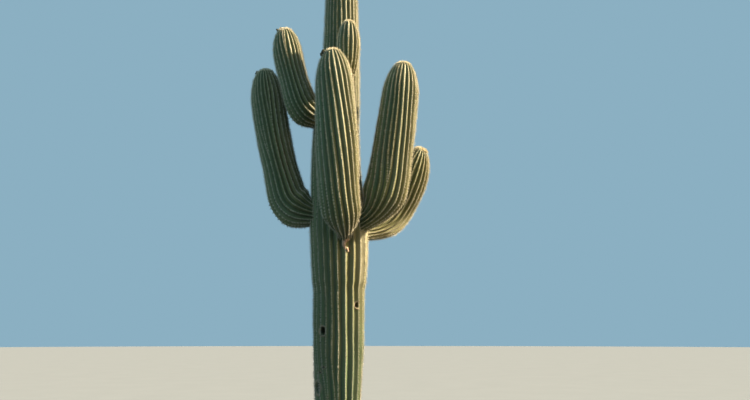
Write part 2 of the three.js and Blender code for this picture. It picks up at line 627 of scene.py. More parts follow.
@dataclass(frozen=True)
class Girth:
    """Radii over the crests at places along a limb, eased from each to the next."""

    places: tuple[float, ...]
    radii: tuple[float, ...]

    def at(self, along: Array) -> Array:
        """The radius at each place.

        Args:
            along: places along the limb.

        Returns:
            The radii.
        """
        places = np.array(self.places)
        radii = np.array(self.radii)
        held = np.clip(along, places[0], places[-1])
        low = np.clip(np.searchsorted(places, held) - 1, 0, len(places) - 2)
        share = (held - places[low]) / (places[low + 1] - places[low])
        return radii[low] + (radii[low + 1] - radii[low]) * (smooth(share) + share) / 2.0


@dataclass(frozen=True)
class Dome:
    """The rounded tip of a limb: its length, and the two powers of its outline."""

    length: float
    roundness: float = 1.8
    bluntness: float = 0.4

    def share(self, below_tip: Array) -> Array:
        """Share of the full radius at a distance below the tip."""
        place = np.clip(1.0 - below_tip / self.length, 0.0, 1.0)
        return (1.0 - place**self.roundness) ** self.bluntness


@dataclass(frozen=True)
class Ripples:
    """Waves that run round and up a limb, each finer than the last.

    Attributes:
        count: how many there are.
        turns: the first one's waves in a turn, which grow by one from each to the next.
        rise: the first one's radians in a metre along the limb.
        rise_step: how much those grow from each to the next.
        seed_phase: radians between a seed and the next.
        wave_phase: radians between a wave and the next.
    """

    count: int
    turns: int
    rise: float
    rise_step: float
    seed_phase: float
    wave_phase: float

    def wave(self, number: int, seed: int, angle: Array, along: Array) -> Array:
        """One of the waves.

        Args:
            number: which one, from 0.
            seed: shifts it.
            angle: angles round the limb in radians.
            along: places along the limb.

        Returns:
            Its value at each, from -1 to 1.
        """
        phase = seed * self.seed_phase + number * self.wave_phase
        return np.sin((number + self.turns) * angle + (self.rise + self.rise_step * number) * along + phase)


RIB_WAVER = Ripples(count=3, turns=2, rise=3.1, rise_step=4.3, seed_phase=1.7, wave_phase=2.1)
SWELLING = Ripples(count=4, turns=1, rise=2.2, rise_step=3.7, seed_phase=0.9, wave_phase=1.3)


@dataclass(frozen=True)
class RibPattern:
    """The ribs of a limb. They run up side by side, and some divide in two on the way.

    Attributes:
        count: ribs at the limb's foot.
        dividing: how many of them divide.
        divide_from: the lowest place where one divides.
        divide_to: the highest place where one divides.
        first_crest: the angle of the first rib's crest, from the limb's side axis.
        seed: picks which ribs divide where, and how they waver.
        twist: degrees that the ribs turn round the limb in a metre.
        twist_from: the place where the first crest is at its angle.
        blend: the length over which a rib divides.
        growth: how much wider that makes it, as a share of a rib.
        depth: the grooves' depth, as a share of a rib's width.
        waver: how far the ribs waver, in radians.
        roundness: the power of a crest's outline across its rib, rounder as it grows.
        sharpness: how narrow the crests stand over the grooves, 1 for none.
        stray: how far a place of dividing strays, as a share of the distance between them.
        early: ribs that divide below the others.
        early_from: where the first of those divides.
        early_to: where the last of those divides.
        foot_fill: how much of the grooves' depth is filled with bark at the limb's foot.
        fill_top: the place where that ends.
    """

    count: int
    dividing: int
    divide_from: float
    divide_to: float
    first_crest: float
    seed: int
    twist: float = 0.0
    twist_from: float = 0.0
    blend: float = 0.60
    growth: float = 0.6
    depth: float = 0.42
    waver: float = 0.005
    roundness: float = 1.5
    sharpness: float = 1.25
    stray: float = 0.4
    early: tuple[int, ...] = ()
    early_from: float = 0.55
    early_to: float = 0.95
    foot_fill: float = 0.0
    fill_top: float = 0.7

    def starts(self) -> Array:
        """Where each rib starts to divide.

        Returns:
            A place for each rib, which is far beyond the tip for one that never does.
        """
        random = np.random.default_rng(self.seed)
        places = np.linspace(self.divide_from, self.divide_to, self.dividing)
        step = (self.divide_to - self.divide_from) / self.dividing
        places = places + random.uniform(-self.stray, self.stray, self.dividing) * step
        every = np.full(self.count, NEVER)
        others = np.setdiff1d(np.arange(1, self.count), self.early)
        every[others[random.permutation(len(others))[: self.dividing]]] = places
        every[list(self.early)] = np.linspace(self.early_from, self.early_to, len(self.early))
        return every

    def divided(self, along: Array) -> Array:
        """How far each rib has divided at each place, from 0 to 1, a column for each rib."""
        return smooth((along[:, None] - self.starts()[None, :]) / self.blend)

    def layout(self, rib: Array, share: Array, along: Array) -> tuple[Array, Array, Array]:
        """Where points of the ribs lie round the limb.

        Args:
            rib: each point's rib.
            share: each point's place across its rib, from 0 to 1.
            along: each point's place along the limb.

        Returns:
            The angle in radians, the height over the groove from 0 to 1, and how many ribs stand round the
            limb there, a dividing one counting as up to two.
        """
        divided = self.divided(along)
        widths = 1.0 + self.growth * divided
        total = widths.sum(axis=1)
        rows = np.arange(len(rib))
        before = np.cumsum(widths, axis=1)[rows, rib] - widths[rows, rib]
        turn = (before + share * widths[rows, rib] - widths[:, 0] / 2.0) / total
        twist = self.first_crest + self.twist * (along - self.twist_from)
        angle = 2.0 * np.pi * turn + np.radians(twist)
        for number in range(RIB_WAVER.count):
            angle = angle + self.waver * RIB_WAVER.wave(number, self.seed, angle, along)
        own = divided[rows, rib]
        height = (1.0 - own) * self.crest(share) + own * self.crest((2.0 * share) % 1.0)
        return angle, height, (1.0 + divided).sum(axis=1)

    def crest(self, share: Array) -> Array:
        """Height of one rib across its width: a rounded crest between two grooves."""
        return (1.0 - np.abs(2.0 * share - 1.0) ** self.roundness) ** self.sharpness


@dataclass
class CentreLine:
    """A limb's centre line.

    Attributes:
        lengths: places along it.
        points: its point at each.
        directions: its direction at each.
        side: the side axis that angles round the limb start from.
    """

    lengths: Array
    points: Array
    directions: Array
    side: Array

    @classmethod
    def through(cls, points: Array, side: Array) -> "CentreLine":
        """A line through closely spaced points, measured along its own length.

        Args:
            points: the points.
            side: its side axis.

        Returns:
            The line.
        """
        steps = np.linalg.norm(np.diff(points, axis=0), axis=1)
        lengths = np.concatenate(([0.0], np.cumsum(steps)))
        directions = unit(np.gradient(points, lengths, axis=0))
        return cls(lengths, points, directions, side)

    def read(self, rows: Array, along: Array) -> Array:
        """Rows of vectors, read off at each place between the samples."""
        return np.stack([np.interp(along, self.lengths, rows[:, axis]) for axis in range(3)], axis=1)

    def at(self, along: Array) -> tuple[Array, Array, Array, Array]:
        """The line and its axes.

        Args:
            along: places along the line.

        Returns:
            The centre, direction, side axis and front axis at each.
        """
        centre = self.read(self.points, along)
        direction = unit(self.read(self.directions, along))
        across = unit(self.side - direction * (direction @ self.side)[:, None])
        return centre, direction, across, np.cross(direction, across)


@dataclass
class Limb:
    """A ribbed limb: everything that its skin, its felt and its spines are worked out from.

    Attributes:
        name: the limb's name.
        slot: the record's slot of its skin; not used.
        replaced: the frame's nodes that its skin stands for.
        line: its centre line.
        girth: its radii over the crests.
        dome: its rounded tip.
        ribs: its rib pattern.
        start: where its skin starts along the line.
        end: where its tip is along the line.
        columns_per_rib: faces of the skin across a rib.
        row_step: distance between the skin's rows below the dome.
        dome_rows: rows in the dome.
        dome_crowding: the power by which those crowd towards the tip.
        unevenness: how far it swells and shrinks, as a share of its radius.
        fading: what the first ripple of that is divided by, and one more for each next.
    """

    name: str
    slot: Slot
    replaced: tuple[str, ...]
    line: CentreLine
    girth: Girth
    dome: Dome
    ribs: RibPattern
    start: float
    end: float
    columns_per_rib: int = 12
    row_step: float = 0.022
    dome_rows: int = 26
    dome_crowding: float = 2.4
    unevenness: float = 0.010
    fading: float = 1.5

    def crest_radius(self, along: Array) -> Array:
        """The radius over the crests at each place, the dome included."""
        return self.girth.at(along) * self.dome.share(self.end - along)

    def skin_at(self, rib: Array, share: Array, along: Array) -> tuple[Array, Array, Array]:
        """Points of the skin.

        Args:
            rib: each point's rib.
            share: each point's place across its rib, from 0 to 1.
            along: each point's place along the limb.

        Returns:
            The points, their height over the groove from 0 to 1, and the direction round the limb at each.
        """
        ribs = self.ribs
        angle, height, standing = ribs.layout(rib, share, along)
        radius = self.crest_radius(along)
        swell = np.zeros_like(radius)
        for number in range(SWELLING.count):
            swell = swell + SWELLING.wave(number, ribs.seed, angle, along) / (number + self.fading)
        radius = radius * (1.0 + self.unevenness * swell)
        depth = ribs.depth * 2.0 * np.pi * radius / standing
        depth = depth * (1.0 - ribs.foot_fill * (1.0 - smooth(along / ribs.fill_top)))
        reach = radius - depth * (1.0 - height)
        centre, _, across, over = self.line.at(along)
        outward = across * np.cos(angle)[:, None] + over * np.sin(angle)[:, None]
        around = over * np.cos(angle)[:, None] - across * np.sin(angle)[:, None]
        return centre + outward * reach[:, None], height, around

    def rows(self) -> Array:
        """Places of the skin's rows along the limb, closer together in the dome.

        Returns:
            The places, from the foot to the tip.
        """
        dome_foot = self.end - self.dome.length
        count = round((dome_foot - self.start) / self.row_step)
        shaft = np.linspace(self.start, dome_foot, count + 1)
        climbed = np.arange(1, self.dome_rows + 1) / self.dome_rows
        closing = 1.0 - (1.0 - climbed) ** self.dome_crowding
        return np.concatenate((shaft, dome_foot + closing * self.dome.length))


@dataclass(frozen=True)
class TrunkSizes:
    """The trunk, from the ground to its tip.

    Attributes:
        height: its tip over the ground.
        dome: the length of its rounded tip.
        stray: how far its axis strays along +X.
        stray_from: the height where that starts.
        stray_to: the height where that ends.
        girth: its radii over the crests, by height.
        ribs: its rib pattern.
        samples: points of its centre line.
        columns_per_rib: faces of its skin across a rib.
        dome_rows: rows of its skin in the dome.
    """

    height: float = 6.020
    dome: float = 0.400
    stray: float = -0.042
    stray_from: float = 2.350
    stray_to: float = 4.550
    girth: Girth = Girth(
        places=(0.0, 0.34, 0.80, 1.50, 1.95, 2.04, 2.13, 2.33, 2.60, 2.98, 3.44, 3.75, 4.72, 5.62),
        radii=(
            0.234, 0.206, 0.203, 0.241, 0.245, 0.246, 0.262, 0.275, 0.283, 0.257, 0.236, 0.224, 0.172, 0.142,
        ),
    )
    ribs: RibPattern = RibPattern(
        count=18, dividing=3, divide_from=2.3, divide_to=4.2, first_crest=-75.0, seed=17,
        early=(17, 16, 15, 14), foot_fill=0.5, twist=-5.0, twist_from=2.4, blend=0.9, depth=0.36,
        roundness=1.3, sharpness=1.7,
    )
    samples: int = 600
    columns_per_rib: int = 14
    dome_rows: int = 30

    def centre(self, height: Array) -> Array:
        """The trunk's axis.

        Args:
            height: heights over the ground.

        Returns:
            The axis's point at each.
        """
        share = np.clip((height - self.stray_from) / (self.stray_to - self.stray_from), 0.0, 1.0)
        stray = self.stray * np.sin(np.pi * share) ** 2
        return np.stack([stray, np.zeros_like(height), height], axis=1)

    def limb(self) -> Limb:
        """The trunk as a limb whose places are heights.

        Returns:
            The limb.
        """
        heights = np.linspace(0.0, self.height, self.samples)
        line = CentreLine(heights, self.centre(heights), np.tile(UP, (self.samples, 1)), SIDE)
        return Limb(
            name="trunk", slot=Slot.TRUNK, replaced=("trunk",), line=line, girth=self.girth,
            dome=Dome(self.dome), ribs=self.ribs, start=0.0, end=self.height,
            columns_per_rib=self.columns_per_rib, dome_rows=self.dome_rows,
        )


@dataclass(frozen=True)
class ArmSizes:
    """An arm that leaves the trunk sideways and turns up.

    The centre line starts on the trunk's axis, sets out for a point a little above or below its start,
    stands up at the arm's foot, and ends at its tip. The radii are over the crests.

    Attributes:
        name: the arm's name.
        bearing: the way that it leaves, anticlockwise from +X seen from above.
        attach: the height where its centre line starts.
        dip: how far above that height the line sets out for.
        reach: how far its foot stands out from the trunk's axis.
        foot: the height of its foot.
        lean: degrees that it leans outwards there.
        tip: the height of its tip.
        neck: its radius where it leaves the trunk.
        elbow: its radius at the bend.
        stem: its radius above the foot.
        crown: its radius at the dome.
        ribs: ribs at its neck.
        dividing: how many of them divide.
        first_crest: the angle of the first rib's crest, from the limb's side axis.
        crest_place: the place along the arm where it is at that angle.
        twist: degrees that the ribs turn round the arm in a metre.
        seed: picks which ribs divide where, and how they waver.
        tip_out: how much further out the tip is than the foot.
        veer: how far the point that the line sets out for lies to the left of the bearing.
        sway_foot: how far the foot lies to the left of it.
        sway_tip: how far the tip lies to the left of it.
        level_share: how far out that point lies, as a share of the way to the foot.
        upright_share: how far below the foot the line turns upright, as a share of the foot's rise.
        neck_end: where the radius neck ends, as a share of the elbow's length.
        elbow_full: where the radius elbow is reached, as a share of the elbow's length.
        stem_full: where the radius stem is reached, as a share of the stem's length.
        divide_low: where the first rib divides, as a share of the elbow's length.
        divide_high: where the last rib divides, as a share of the stem's length.
        dome_per_radius: the dome's length over its radius.
        hidden_start: where the skin starts, inside the trunk.
    """

    name: str
    bearing: float
    attach: float
    dip: float
    reach: float
    foot: float
    lean: float
    tip: float
    neck: float
    elbow: float
    stem: float
    crown: float
    ribs: int
    dividing: int
    first_crest: float
    crest_place: float
    twist: float
    seed: int
    tip_out: float = 0.0
    veer: float = 0.0
    sway_foot: float = 0.0
    sway_tip: float = 0.0
    level_share: float = 0.72
    upright_share: float = 0.62
    neck_end: float = 0.38
    elbow_full: float = 0.70
    stem_full: float = 0.25
    divide_low: float = 0.25
    divide_high: float = 0.35
    dome_per_radius: float = 2.1
    hidden_start: float = 0.10

    def limb(self, trunk: TrunkSizes) -> Limb:
        """The arm as a limb whose places are lengths along its centre line.

        Args:
            trunk: the trunk that it leaves.

        Returns:
            The limb, whose skin starts inside the trunk.
        """
        out = facing(self.bearing)
        up = Vector(UP)
        left = up.cross(out)
        start = Vector(trunk.centre(np.array([self.attach]))[0])
        foot = Vector((start.x, start.y, self.foot)) + out * self.reach + left * self.sway_foot
        shift = self.sway_tip - self.sway_foot
        tip = Vector((foot.x, foot.y, self.tip)) + out * self.tip_out + left * shift
        lean = math.radians(self.lean)
        sway = shift / (self.tip - self.foot)
        stand = (out * math.sin(lean) + up * math.cos(lean) + left * sway).normalized()
        level = start.lerp(foot, self.level_share) + left * self.veer
        level.z = self.attach + self.dip
        upright = foot - stand * (self.foot - self.attach) * self.upright_share
        middle = foot + stand * (self.tip - self.foot) / 2.0
        elbow = self.bezier([start, level, upright, foot])
        stem = self.bezier([foot, middle, tip])
        elbow_length = float(np.linalg.norm(np.diff(elbow, axis=0), axis=1).sum())
        line = CentreLine.through(np.concatenate((elbow, stem[1:])), np.array(left))
        end = float(line.lengths[-1])
        stem_length = end - elbow_length
        neck_end = self.neck_end * elbow_length
        elbow_full = self.elbow_full * elbow_length
        stem_full = elbow_length + self.stem_full * stem_length
        girth = Girth(
            places=(neck_end, elbow_full, stem_full, end),
            radii=(self.neck, self.elbow, self.stem, self.crown),
        )
        ribs = RibPattern(
            count=self.ribs, dividing=self.dividing, divide_from=self.divide_low * elbow_length,
            divide_to=elbow_length + self.divide_high * stem_length, first_crest=self.first_crest,
            seed=self.seed, twist=self.twist, twist_from=self.crest_place,
        )
        return Limb(
            name=self.name, slot=Slot.ARM, replaced=(f"{self.name}_elbow", f"{self.name}_stem"),
            line=line, girth=girth, dome=Dome(self.crown * self.dome_per_radius), ribs=ribs,
            start=self.hidden_start, end=end,
        )

    @staticmethod
    def bezier(controls: list[Vector], count: int = 240) -> Array:
        """Points along a curve.

        Args:
            controls: its control points.
            count: how many points it gets.

        Returns:
            The points.
        """
        degree = len(controls) - 1
        share = np.linspace(0.0, 1.0, count)[:, None]
        points = np.zeros((count, 3))
        for index, control in enumerate(controls):
            weight = math.comb(degree, index) * share**index * (1.0 - share) ** (degree - index)
            points += weight * np.array(control)
        return points


ARMS = (
    ArmSizes(
        name="right_arm", bearing=-20, attach=2.670, dip=-0.008, reach=0.534, foot=3.196, lean=7.8,
        tip_out=0.126, tip=4.300, sway_tip=0.078, neck=0.113, elbow=0.212, stem=0.194, crown=0.169,
        ribs=20, dividing=5, first_crest=-127.0, crest_place=1.0, twist=-12.0, seed=21,
    ),
    ArmSizes(
        name="right_back_arm", bearing=22, attach=2.630, dip=-0.047, reach=0.757, foot=3.040, lean=14.6,
        tip_out=0.132, tip=3.531, sway_foot=0.110, sway_tip=-0.052, neck=0.088, elbow=0.143, stem=0.179,
        crown=0.151, ribs=18, dividing=5, first_crest=-110.0, crest_place=1.0, twist=-8.0, seed=22,
    ),
    ArmSizes(
        name="left_low_arm", bearing=181, attach=2.758, dip=0.020, reach=0.515, foot=2.996, lean=16.0,
        tip_out=0.244, tip=4.265, sway_foot=-0.022, sway_tip=0.033, neck=0.118, elbow=0.200, stem=0.168,
        crown=0.167, ribs=20, dividing=5, first_crest=-8.1, crest_place=1.05, twist=-12.0, seed=23,
    ),
    ArmSizes(
        name="left_high_arm", bearing=210, attach=3.714, dip=0.017, reach=0.420, foot=3.920, lean=18.6,
        tip_out=0.141, tip=4.626, sway_tip=-0.070, neck=0.100, elbow=0.163, stem=0.139, crown=0.148,
        ribs=20, dividing=3, first_crest=7.0, crest_place=0.75, twist=-10.0, seed=24,
    ),
    ArmSizes(
        name="front_arm", bearing=-76, attach=2.440, dip=0.156, reach=0.500, foot=2.975, lean=3.6,
        tip_out=-0.023, tip=4.292, veer=0.122, sway_foot=-0.111, sway_tip=-0.176, neck=0.070, elbow=0.180,
        stem=0.198, crown=0.168, ribs=19, dividing=5, first_crest=-58.4, crest_place=1.12, twist=-30.0,
        seed=25,
    ),
    ArmSizes(
        name="high_front_arm", bearing=-70, attach=4.060, dip=0.100, reach=0.330, foot=4.330, lean=0.0,
        tip=4.670, sway_foot=-0.005, sway_tip=-0.005, neck=0.074, elbow=0.088, stem=0.111, crown=0.116,
        ribs=14, dividing=3, first_crest=-60.0, crest_place=0.4, twist=-10.0, seed=26,
    ),
)


@dataclass(frozen=True)
class Hole:
    """A hole or peck in a limb's skin, with a healed corky rim.

    Distances from its middle count in lips, with its edge at 1.

    Attributes:
        bearing: the way it faces, anticlockwise from +X seen from above.
        height: the height of its middle.
        half_width: half its width.
        half_height: half its height.
        depth: how deep it goes.
        rim: how far its rim stands proud.
        mouth: lips from the middle to where its wall starts to drop.
        wall: how many lips wide that wall is.
        rim_place: lips from the middle to the top of the rim.
        rim_width: how many lips wide the rim is.
        healing: how strongly the rim shows as a scar.
        worked: lips from the middle to where the skin is no longer worked.
        cuts: how often each edge of the skin is cut there.
    """

    bearing: float
    height: float
    half_width: float
    half_height: float
    depth: float
    rim: float = 0.006
    mouth: float = 1.12
    wall: float = 0.35
    rim_place: float = 1.28
    rim_width: float = 0.22
    healing: float = 1.1
    worked: float = 2.2
    cuts: int = 3


@dataclass(frozen=True)
class WearAndPaintedSunPatch:
    """Weathering and painted sunlight on the trunk's +X side, in the pale crest colour, fading at its edges.

    Attributes:
        bearing: the way its middle faces, anticlockwise from +X seen from above.
        height: the height of its middle.
        half_turn: half its width in degrees.
        half_height: half its height.
        fade: how steeply it fades, 1 for right from its middle.
    """

    bearing: float
    height: float
    half_turn: float
    half_height: float
    fade: float = 1.6

    def amount(self, points: Array) -> Array:
        """How strongly the patch shows.

        Args:
            points: points of the skin.

        Returns:
            A number from 0 to 1 for each.
        """
        bearings = np.degrees(np.arctan2(points[:, 1], points[:, 0]))
        aside = (bearings - self.bearing) / self.half_turn
        above = (points[:, 2] - self.height) / self.half_height
        return smooth(self.fade * (1.0 - np.hypot(aside, above)))


@dataclass(frozen=True)
class LimbSkin:
    """The skin of one limb, as a mesh with the relief of its ribs.

    Attributes:
        limb: the limb.
        holes: the holes in its skin.
        worn: its patches of weathering and painted sunlight.
        bark_top: the height that bark reaches.
        bark_there: the bark mark's value at that height.
        painted_sun_side_middle: the painted-sunlight mark's value where the skin faces neither +X nor -X,
            before it is eased.
        painted_sun_side_gain: how much it grows where the skin faces +X, towards the sun.
        painted_sun_side_from: the height where the painted sunlight starts to show; below it the mark stands
            for painted shadow.
        painted_sun_side_rise: the height over which it comes up.
        cap_corner: where the cap of its foot lies on its map.
        cap_radius: the radius of the cap there.
        band_foot: where the rest starts on its map.
        seam: the distance within which points are joined.
    """

    limb: Limb
    holes: tuple[Hole, ...] = ()
    worn: tuple[WearAndPaintedSunPatch, ...] = ()
    bark_top: float = 0.001
    bark_there: float = 0.5
    painted_sun_side_middle: float = 0.40
    painted_sun_side_gain: float = 0.70
    painted_sun_side_from: float = 1.2
    painted_sun_side_rise: float = 1.1
    cap_corner: Span = (0.012, 0.012)
    cap_radius: float = 0.010
    band_foot: float = 0.03
    seam: float = 2e-5

    def build(self, finish: bpy.types.Material) -> bpy.types.Object:
        """Makes the skin as a piece.

        Args:
            finish: its material.

        Returns:
            The piece, which stands for the limb's nodes.
        """
        name = f"{self.limb.name}_skin"
        mesh = bpy.data.meshes.new(name)
        self.wrap(mesh)
        self.close(mesh)
        mesh.materials.append(finish)
        mesh.shade_smooth()
        return keep_piece(linked_object(name, mesh), self.limb.replaced)

    def wrap(self, mesh: bpy.types.Mesh) -> None:
        """Fills a mesh with a grid, wrapped round the limb, with its map and its marks.

        Args:
            mesh: the empty mesh.
        """
        limb = self.limb
        rows = limb.rows()
        columns = limb.ribs.count * limb.columns_per_rib
        grid = bmesh.new()
        bmesh.ops.create_grid(grid, x_segments=columns, y_segments=len(rows) - 1, size=1.0)
        grid.to_mesh(mesh)
        grid.free()
        flat = np.empty(len(mesh.vertices) * 3, np.float32)
        mesh.vertices.foreach_get("co", flat)
        flat = flat.reshape(-1, 3)
        column = np.rint((flat[:, 0] + 1.0) / 2.0 * columns).astype(int)
        row = np.rint((flat[:, 1] + 1.0) / 2.0 * (len(rows) - 1)).astype(int)
        rib = np.minimum(column // limb.columns_per_rib, limb.ribs.count - 1)
        share = column / limb.columns_per_rib - rib
        along = rows[row]
        points, height, _ = limb.skin_at(rib, share, along)
        corners = np.empty(len(mesh.loops), np.int32)
        mesh.loops.foreach_get("vertex_index", corners)
        spread = (along - rows[0]) / (rows[-1] - rows[0])
        spot = np.stack([column / columns, self.band_foot + (1.0 - self.band_foot) * spread], axis=1)
        layer = mesh.uv_layers.new(name=UV_MAP)
        layer.data.foreach_set("uv", spot[corners].astype(np.float32).ravel())
        mesh.vertices.foreach_set("co", points.astype(np.float32).ravel())
        for mark, values in self.marks(points, height, along).items():
            attribute = mesh.attributes.new(mark.value, "FLOAT", "POINT")
            attribute.data.foreach_set("value", np.clip(values, 0.0, 1.0).astype(np.float32))

    def marks(self, points: Array, height: Array, along: Array) -> dict[Mark, Array]:
        """What the finish reads at each point of the skin.

        Args:
            points: the points.
            height: their height over the groove, from 0 to 1.
            along: their place along the limb.

        Returns:
            Each mark's values.
        """
        outward = unit(points - self.limb.line.at(along)[0])
        # Painted sunlight, strongest where the skin faces +X, towards the sun; below painted_sun_side_from
        # it fades out as painted shadow on the lower trunk.
        painted_sun_side = smooth(self.painted_sun_side_middle + self.painted_sun_side_gain * outward[:, 0])
        return {
            Mark.CREST: height ** (1.0 / self.limb.ribs.sharpness),
            Mark.BARK: 1.0 - points[:, 2] / self.bark_top * self.bark_there,
            Mark.SCAR: np.zeros_like(height),
            Mark.PAINTED_HOLE_SHADE: np.zeros_like(height),
            Mark.WEAR_AND_PAINTED_SUN: sum((patch.amount(points) for patch in self.worn), np.zeros_like(height)),
            Mark.PAINTED_SUNLIGHT: painted_sun_side * smooth((points[:, 2] - self.painted_sun_side_from) / self.painted_sun_side_rise),
        }

    def close(self, mesh: bpy.types.Mesh) -> None:
        """Joins the seam and the tip, caps the foot and sinks the holes.

        Args:
            mesh: the wrapped grid.
        """
        body = bmesh.new()
        body.from_mesh(mesh)
        bmesh.ops.remove_doubles(body, verts=body.verts, dist=self.seam)
        edges = [edge for edge in body.edges if edge.is_boundary]
        cap = bmesh.ops.contextual_create(body, geom=edges)["faces"]
        self.map_cap(body, bmesh.ops.poke(body, faces=cap)["faces"])
        for hole in self.holes:
            self.sink(body, hole)
        bmesh.ops.recalc_face_normals(body, faces=body.faces)
        body.to_mesh(mesh)
        body.free()

    def map_cap(self, body: bmesh.types.BMesh, fan: list[bmesh.types.BMFace]) -> None:
        """Lays the cap's map as a small disc in a corner of its own.

        Args:
            body: the skin.
            fan: the cap's faces.
        """
        layer = body.loops.layers.uv[UV_MAP]
        middle = sum((face.calc_center_median() for face in fan), Vector()) / len(fan)
        reach = max((vert.co - middle).length for face in fan for vert in face.verts)
        side = Vector(self.limb.line.side)
        front = fan[0].normal.cross(side).normalized()
        left, low = self.cap_corner
        for face in fan:
            for loop in face.loops:
                offset = (loop.vert.co - middle) / reach * self.cap_radius
                loop[layer].uv = (left + offset.dot(side), low + offset.dot(front))

    def sink(self, body: bmesh.types.BMesh, hole: Hole) -> None:
        """Presses a hole into the skin, with a healed rim round it.

        Args:
            body: the skin.
            hole: the hole.
        """
        out = facing(hole.bearing)
        side = Vector((-out.y, out.x, 0.0))
        axis = Vector(self.limb.line.at(np.array([hole.height]))[0][0])

        def lips(point: Vector) -> float:
            """How many lips a point lies from the hole's middle.

            Args:
                point: the point.

            Returns:
                The number, which is without end on the limb's far side.
            """
            offset = point - axis
            if offset.dot(out) < 0.0:
                return math.inf
            return math.hypot(offset.dot(side) / hole.half_width, (point.z - hole.height) / hole.half_height)

        faces = [face for face in body.faces if lips(face.calc_center_median()) < hole.worked]
        edges = list(dict.fromkeys(edge for face in faces for edge in face.edges))
        bmesh.ops.subdivide_edges(body, edges=edges, cuts=hole.cuts, use_grid_fill=True)
        scar = body.verts.layers.float[Mark.SCAR.value]
        hollow = body.verts.layers.float[Mark.PAINTED_HOLE_SHADE.value]
        for vert in body.verts:
            far = lips(vert.co)
            if far >= hole.worked:
                continue
            inside = float(smooth((hole.mouth - far) / hole.wall))
            rim = math.exp(-(((far - hole.rim_place) / hole.rim_width) ** 2))
            vert.co += out * (hole.rim * rim - hole.depth * inside)
            vert[scar] = max(vert[scar], min(1.0, rim * hole.healing))
            # Painted shade: the inside of the hole is marked to be coloured near black.
            vert[hollow] = max(vert[hollow], inside)


# Small things along the crests


@dataclass
class Template:
    """A small shape to be repeated: its corners, its triangles and the material of each triangle."""

    corners: Array
    triangles: Array
    finishes: Array

    @classmethod
    def of(cls, body: bmesh.types.BMesh) -> "Template":
        """A template from a bmesh, which is freed.

        Args:
            body: the shape.

        Returns:
            The template.
        """
        bmesh.ops.triangulate(body, faces=body.faces)
        body.verts.index_update()
        made = cls(
            np.array([vert.co[:] for vert in body.verts]),
            np.array([[vert.index for vert in face.verts] for face in body.faces], dtype=np.int64),
            np.array([face.material_index for face in body.faces], dtype=np.int32),
        )
        body.free()
        return made


@dataclass
class Stands:
    """Places where small shapes stand, each with its own three axes, which carry its size."""

    points: Array
    axes: Array

    def turned(self, angle: Array) -> "Stands":
        """The same places, each turned about its own third axis.

        Args:
            angle: each one's angle in radians.

        Returns:
            The turned places.
        """
        cos = np.cos(angle)[:, None]
        sin = np.sin(angle)[:, None]
        first, second, third = self.axes[:, :, 0], self.axes[:, :, 1], self.axes[:, :, 2]
        axes = np.stack([first * cos + second * sin, second * cos - first * sin, third], axis=2)
        return Stands(self.points, axes)

    def scaled(self, size: Array) -> "Stands":
        """The same places with each shape at its own size."""
        return Stands(self.points, self.axes * size[:, None, None])

    def picked(self, chosen: Array) -> "Stands":
        """Some of the places."""
        return Stands(self.points[chosen], self.axes[chosen])


def joined_copies(
    name: str,
    templates: Sequence[Template],
    picks: Array,
    stands: Stands,
    finishes: Sequence[bpy.types.Material],
) -> bpy.types.Object:
    """Many copies of small shapes as one mesh.

    Args:
        name: the piece's name.
        templates: the shapes to choose from.
        picks: which shape stands at each place.
        stands: the places.
        finishes: the materials that the shapes' triangles name.

    Returns:
        The object.
    """
    corners: list[Array] = []
    triangles: list[Array] = []
    indices: list[Array] = []
    used = 0
    for number, template in enumerate(templates):
        chosen = stands.picked(picks == number)
        placed = np.einsum("nij,vj->nvi", chosen.axes, template.corners) + chosen.points[:, None, :]
        count, size = placed.shape[:2]
        first = used + np.arange(count)[:, None, None] * size
        corners.append(placed.reshape(-1, 3))
        triangles.append((template.triangles[None, :, :] + first).reshape(-1, 3))
        indices.append(np.tile(template.finishes, count))
        used += count * size
    mesh = bpy.data.meshes.new(name)
    mesh.from_pydata(np.concatenate(corners), [], np.concatenate(triangles))
    mesh.polygons.foreach_set("material_index", np.concatenate(indices))
    for finish in finishes:
        mesh.materials.append(finish)
    return linked_object(name, mesh)


def add_spine(body: bmesh.types.BMesh, foot: Vector, tip: Vector, radius: float, finish: int) -> None:
    """Adds one spine, a three-sided needle, to a bmesh.

    Args:
        body: the bmesh.
        foot: where the spine starts.
        tip: where it ends.
        radius: its radius at the foot.
        finish: the material slot of its faces.
    """
    reach = tip - foot
    place = Matrix.Translation((foot + tip) / 2.0) @ reach.to_track_quat("Z", "Y").to_matrix().to_4x4()
    made = bmesh.ops.create_cone(
        body, cap_ends=False, cap_tris=False, segments=3, radius1=radius, radius2=0.0, depth=reach.length,
        matrix=place,
    )
    for face in {face for vert in made["verts"] for face in vert.link_faces}:
        face.material_index = finish


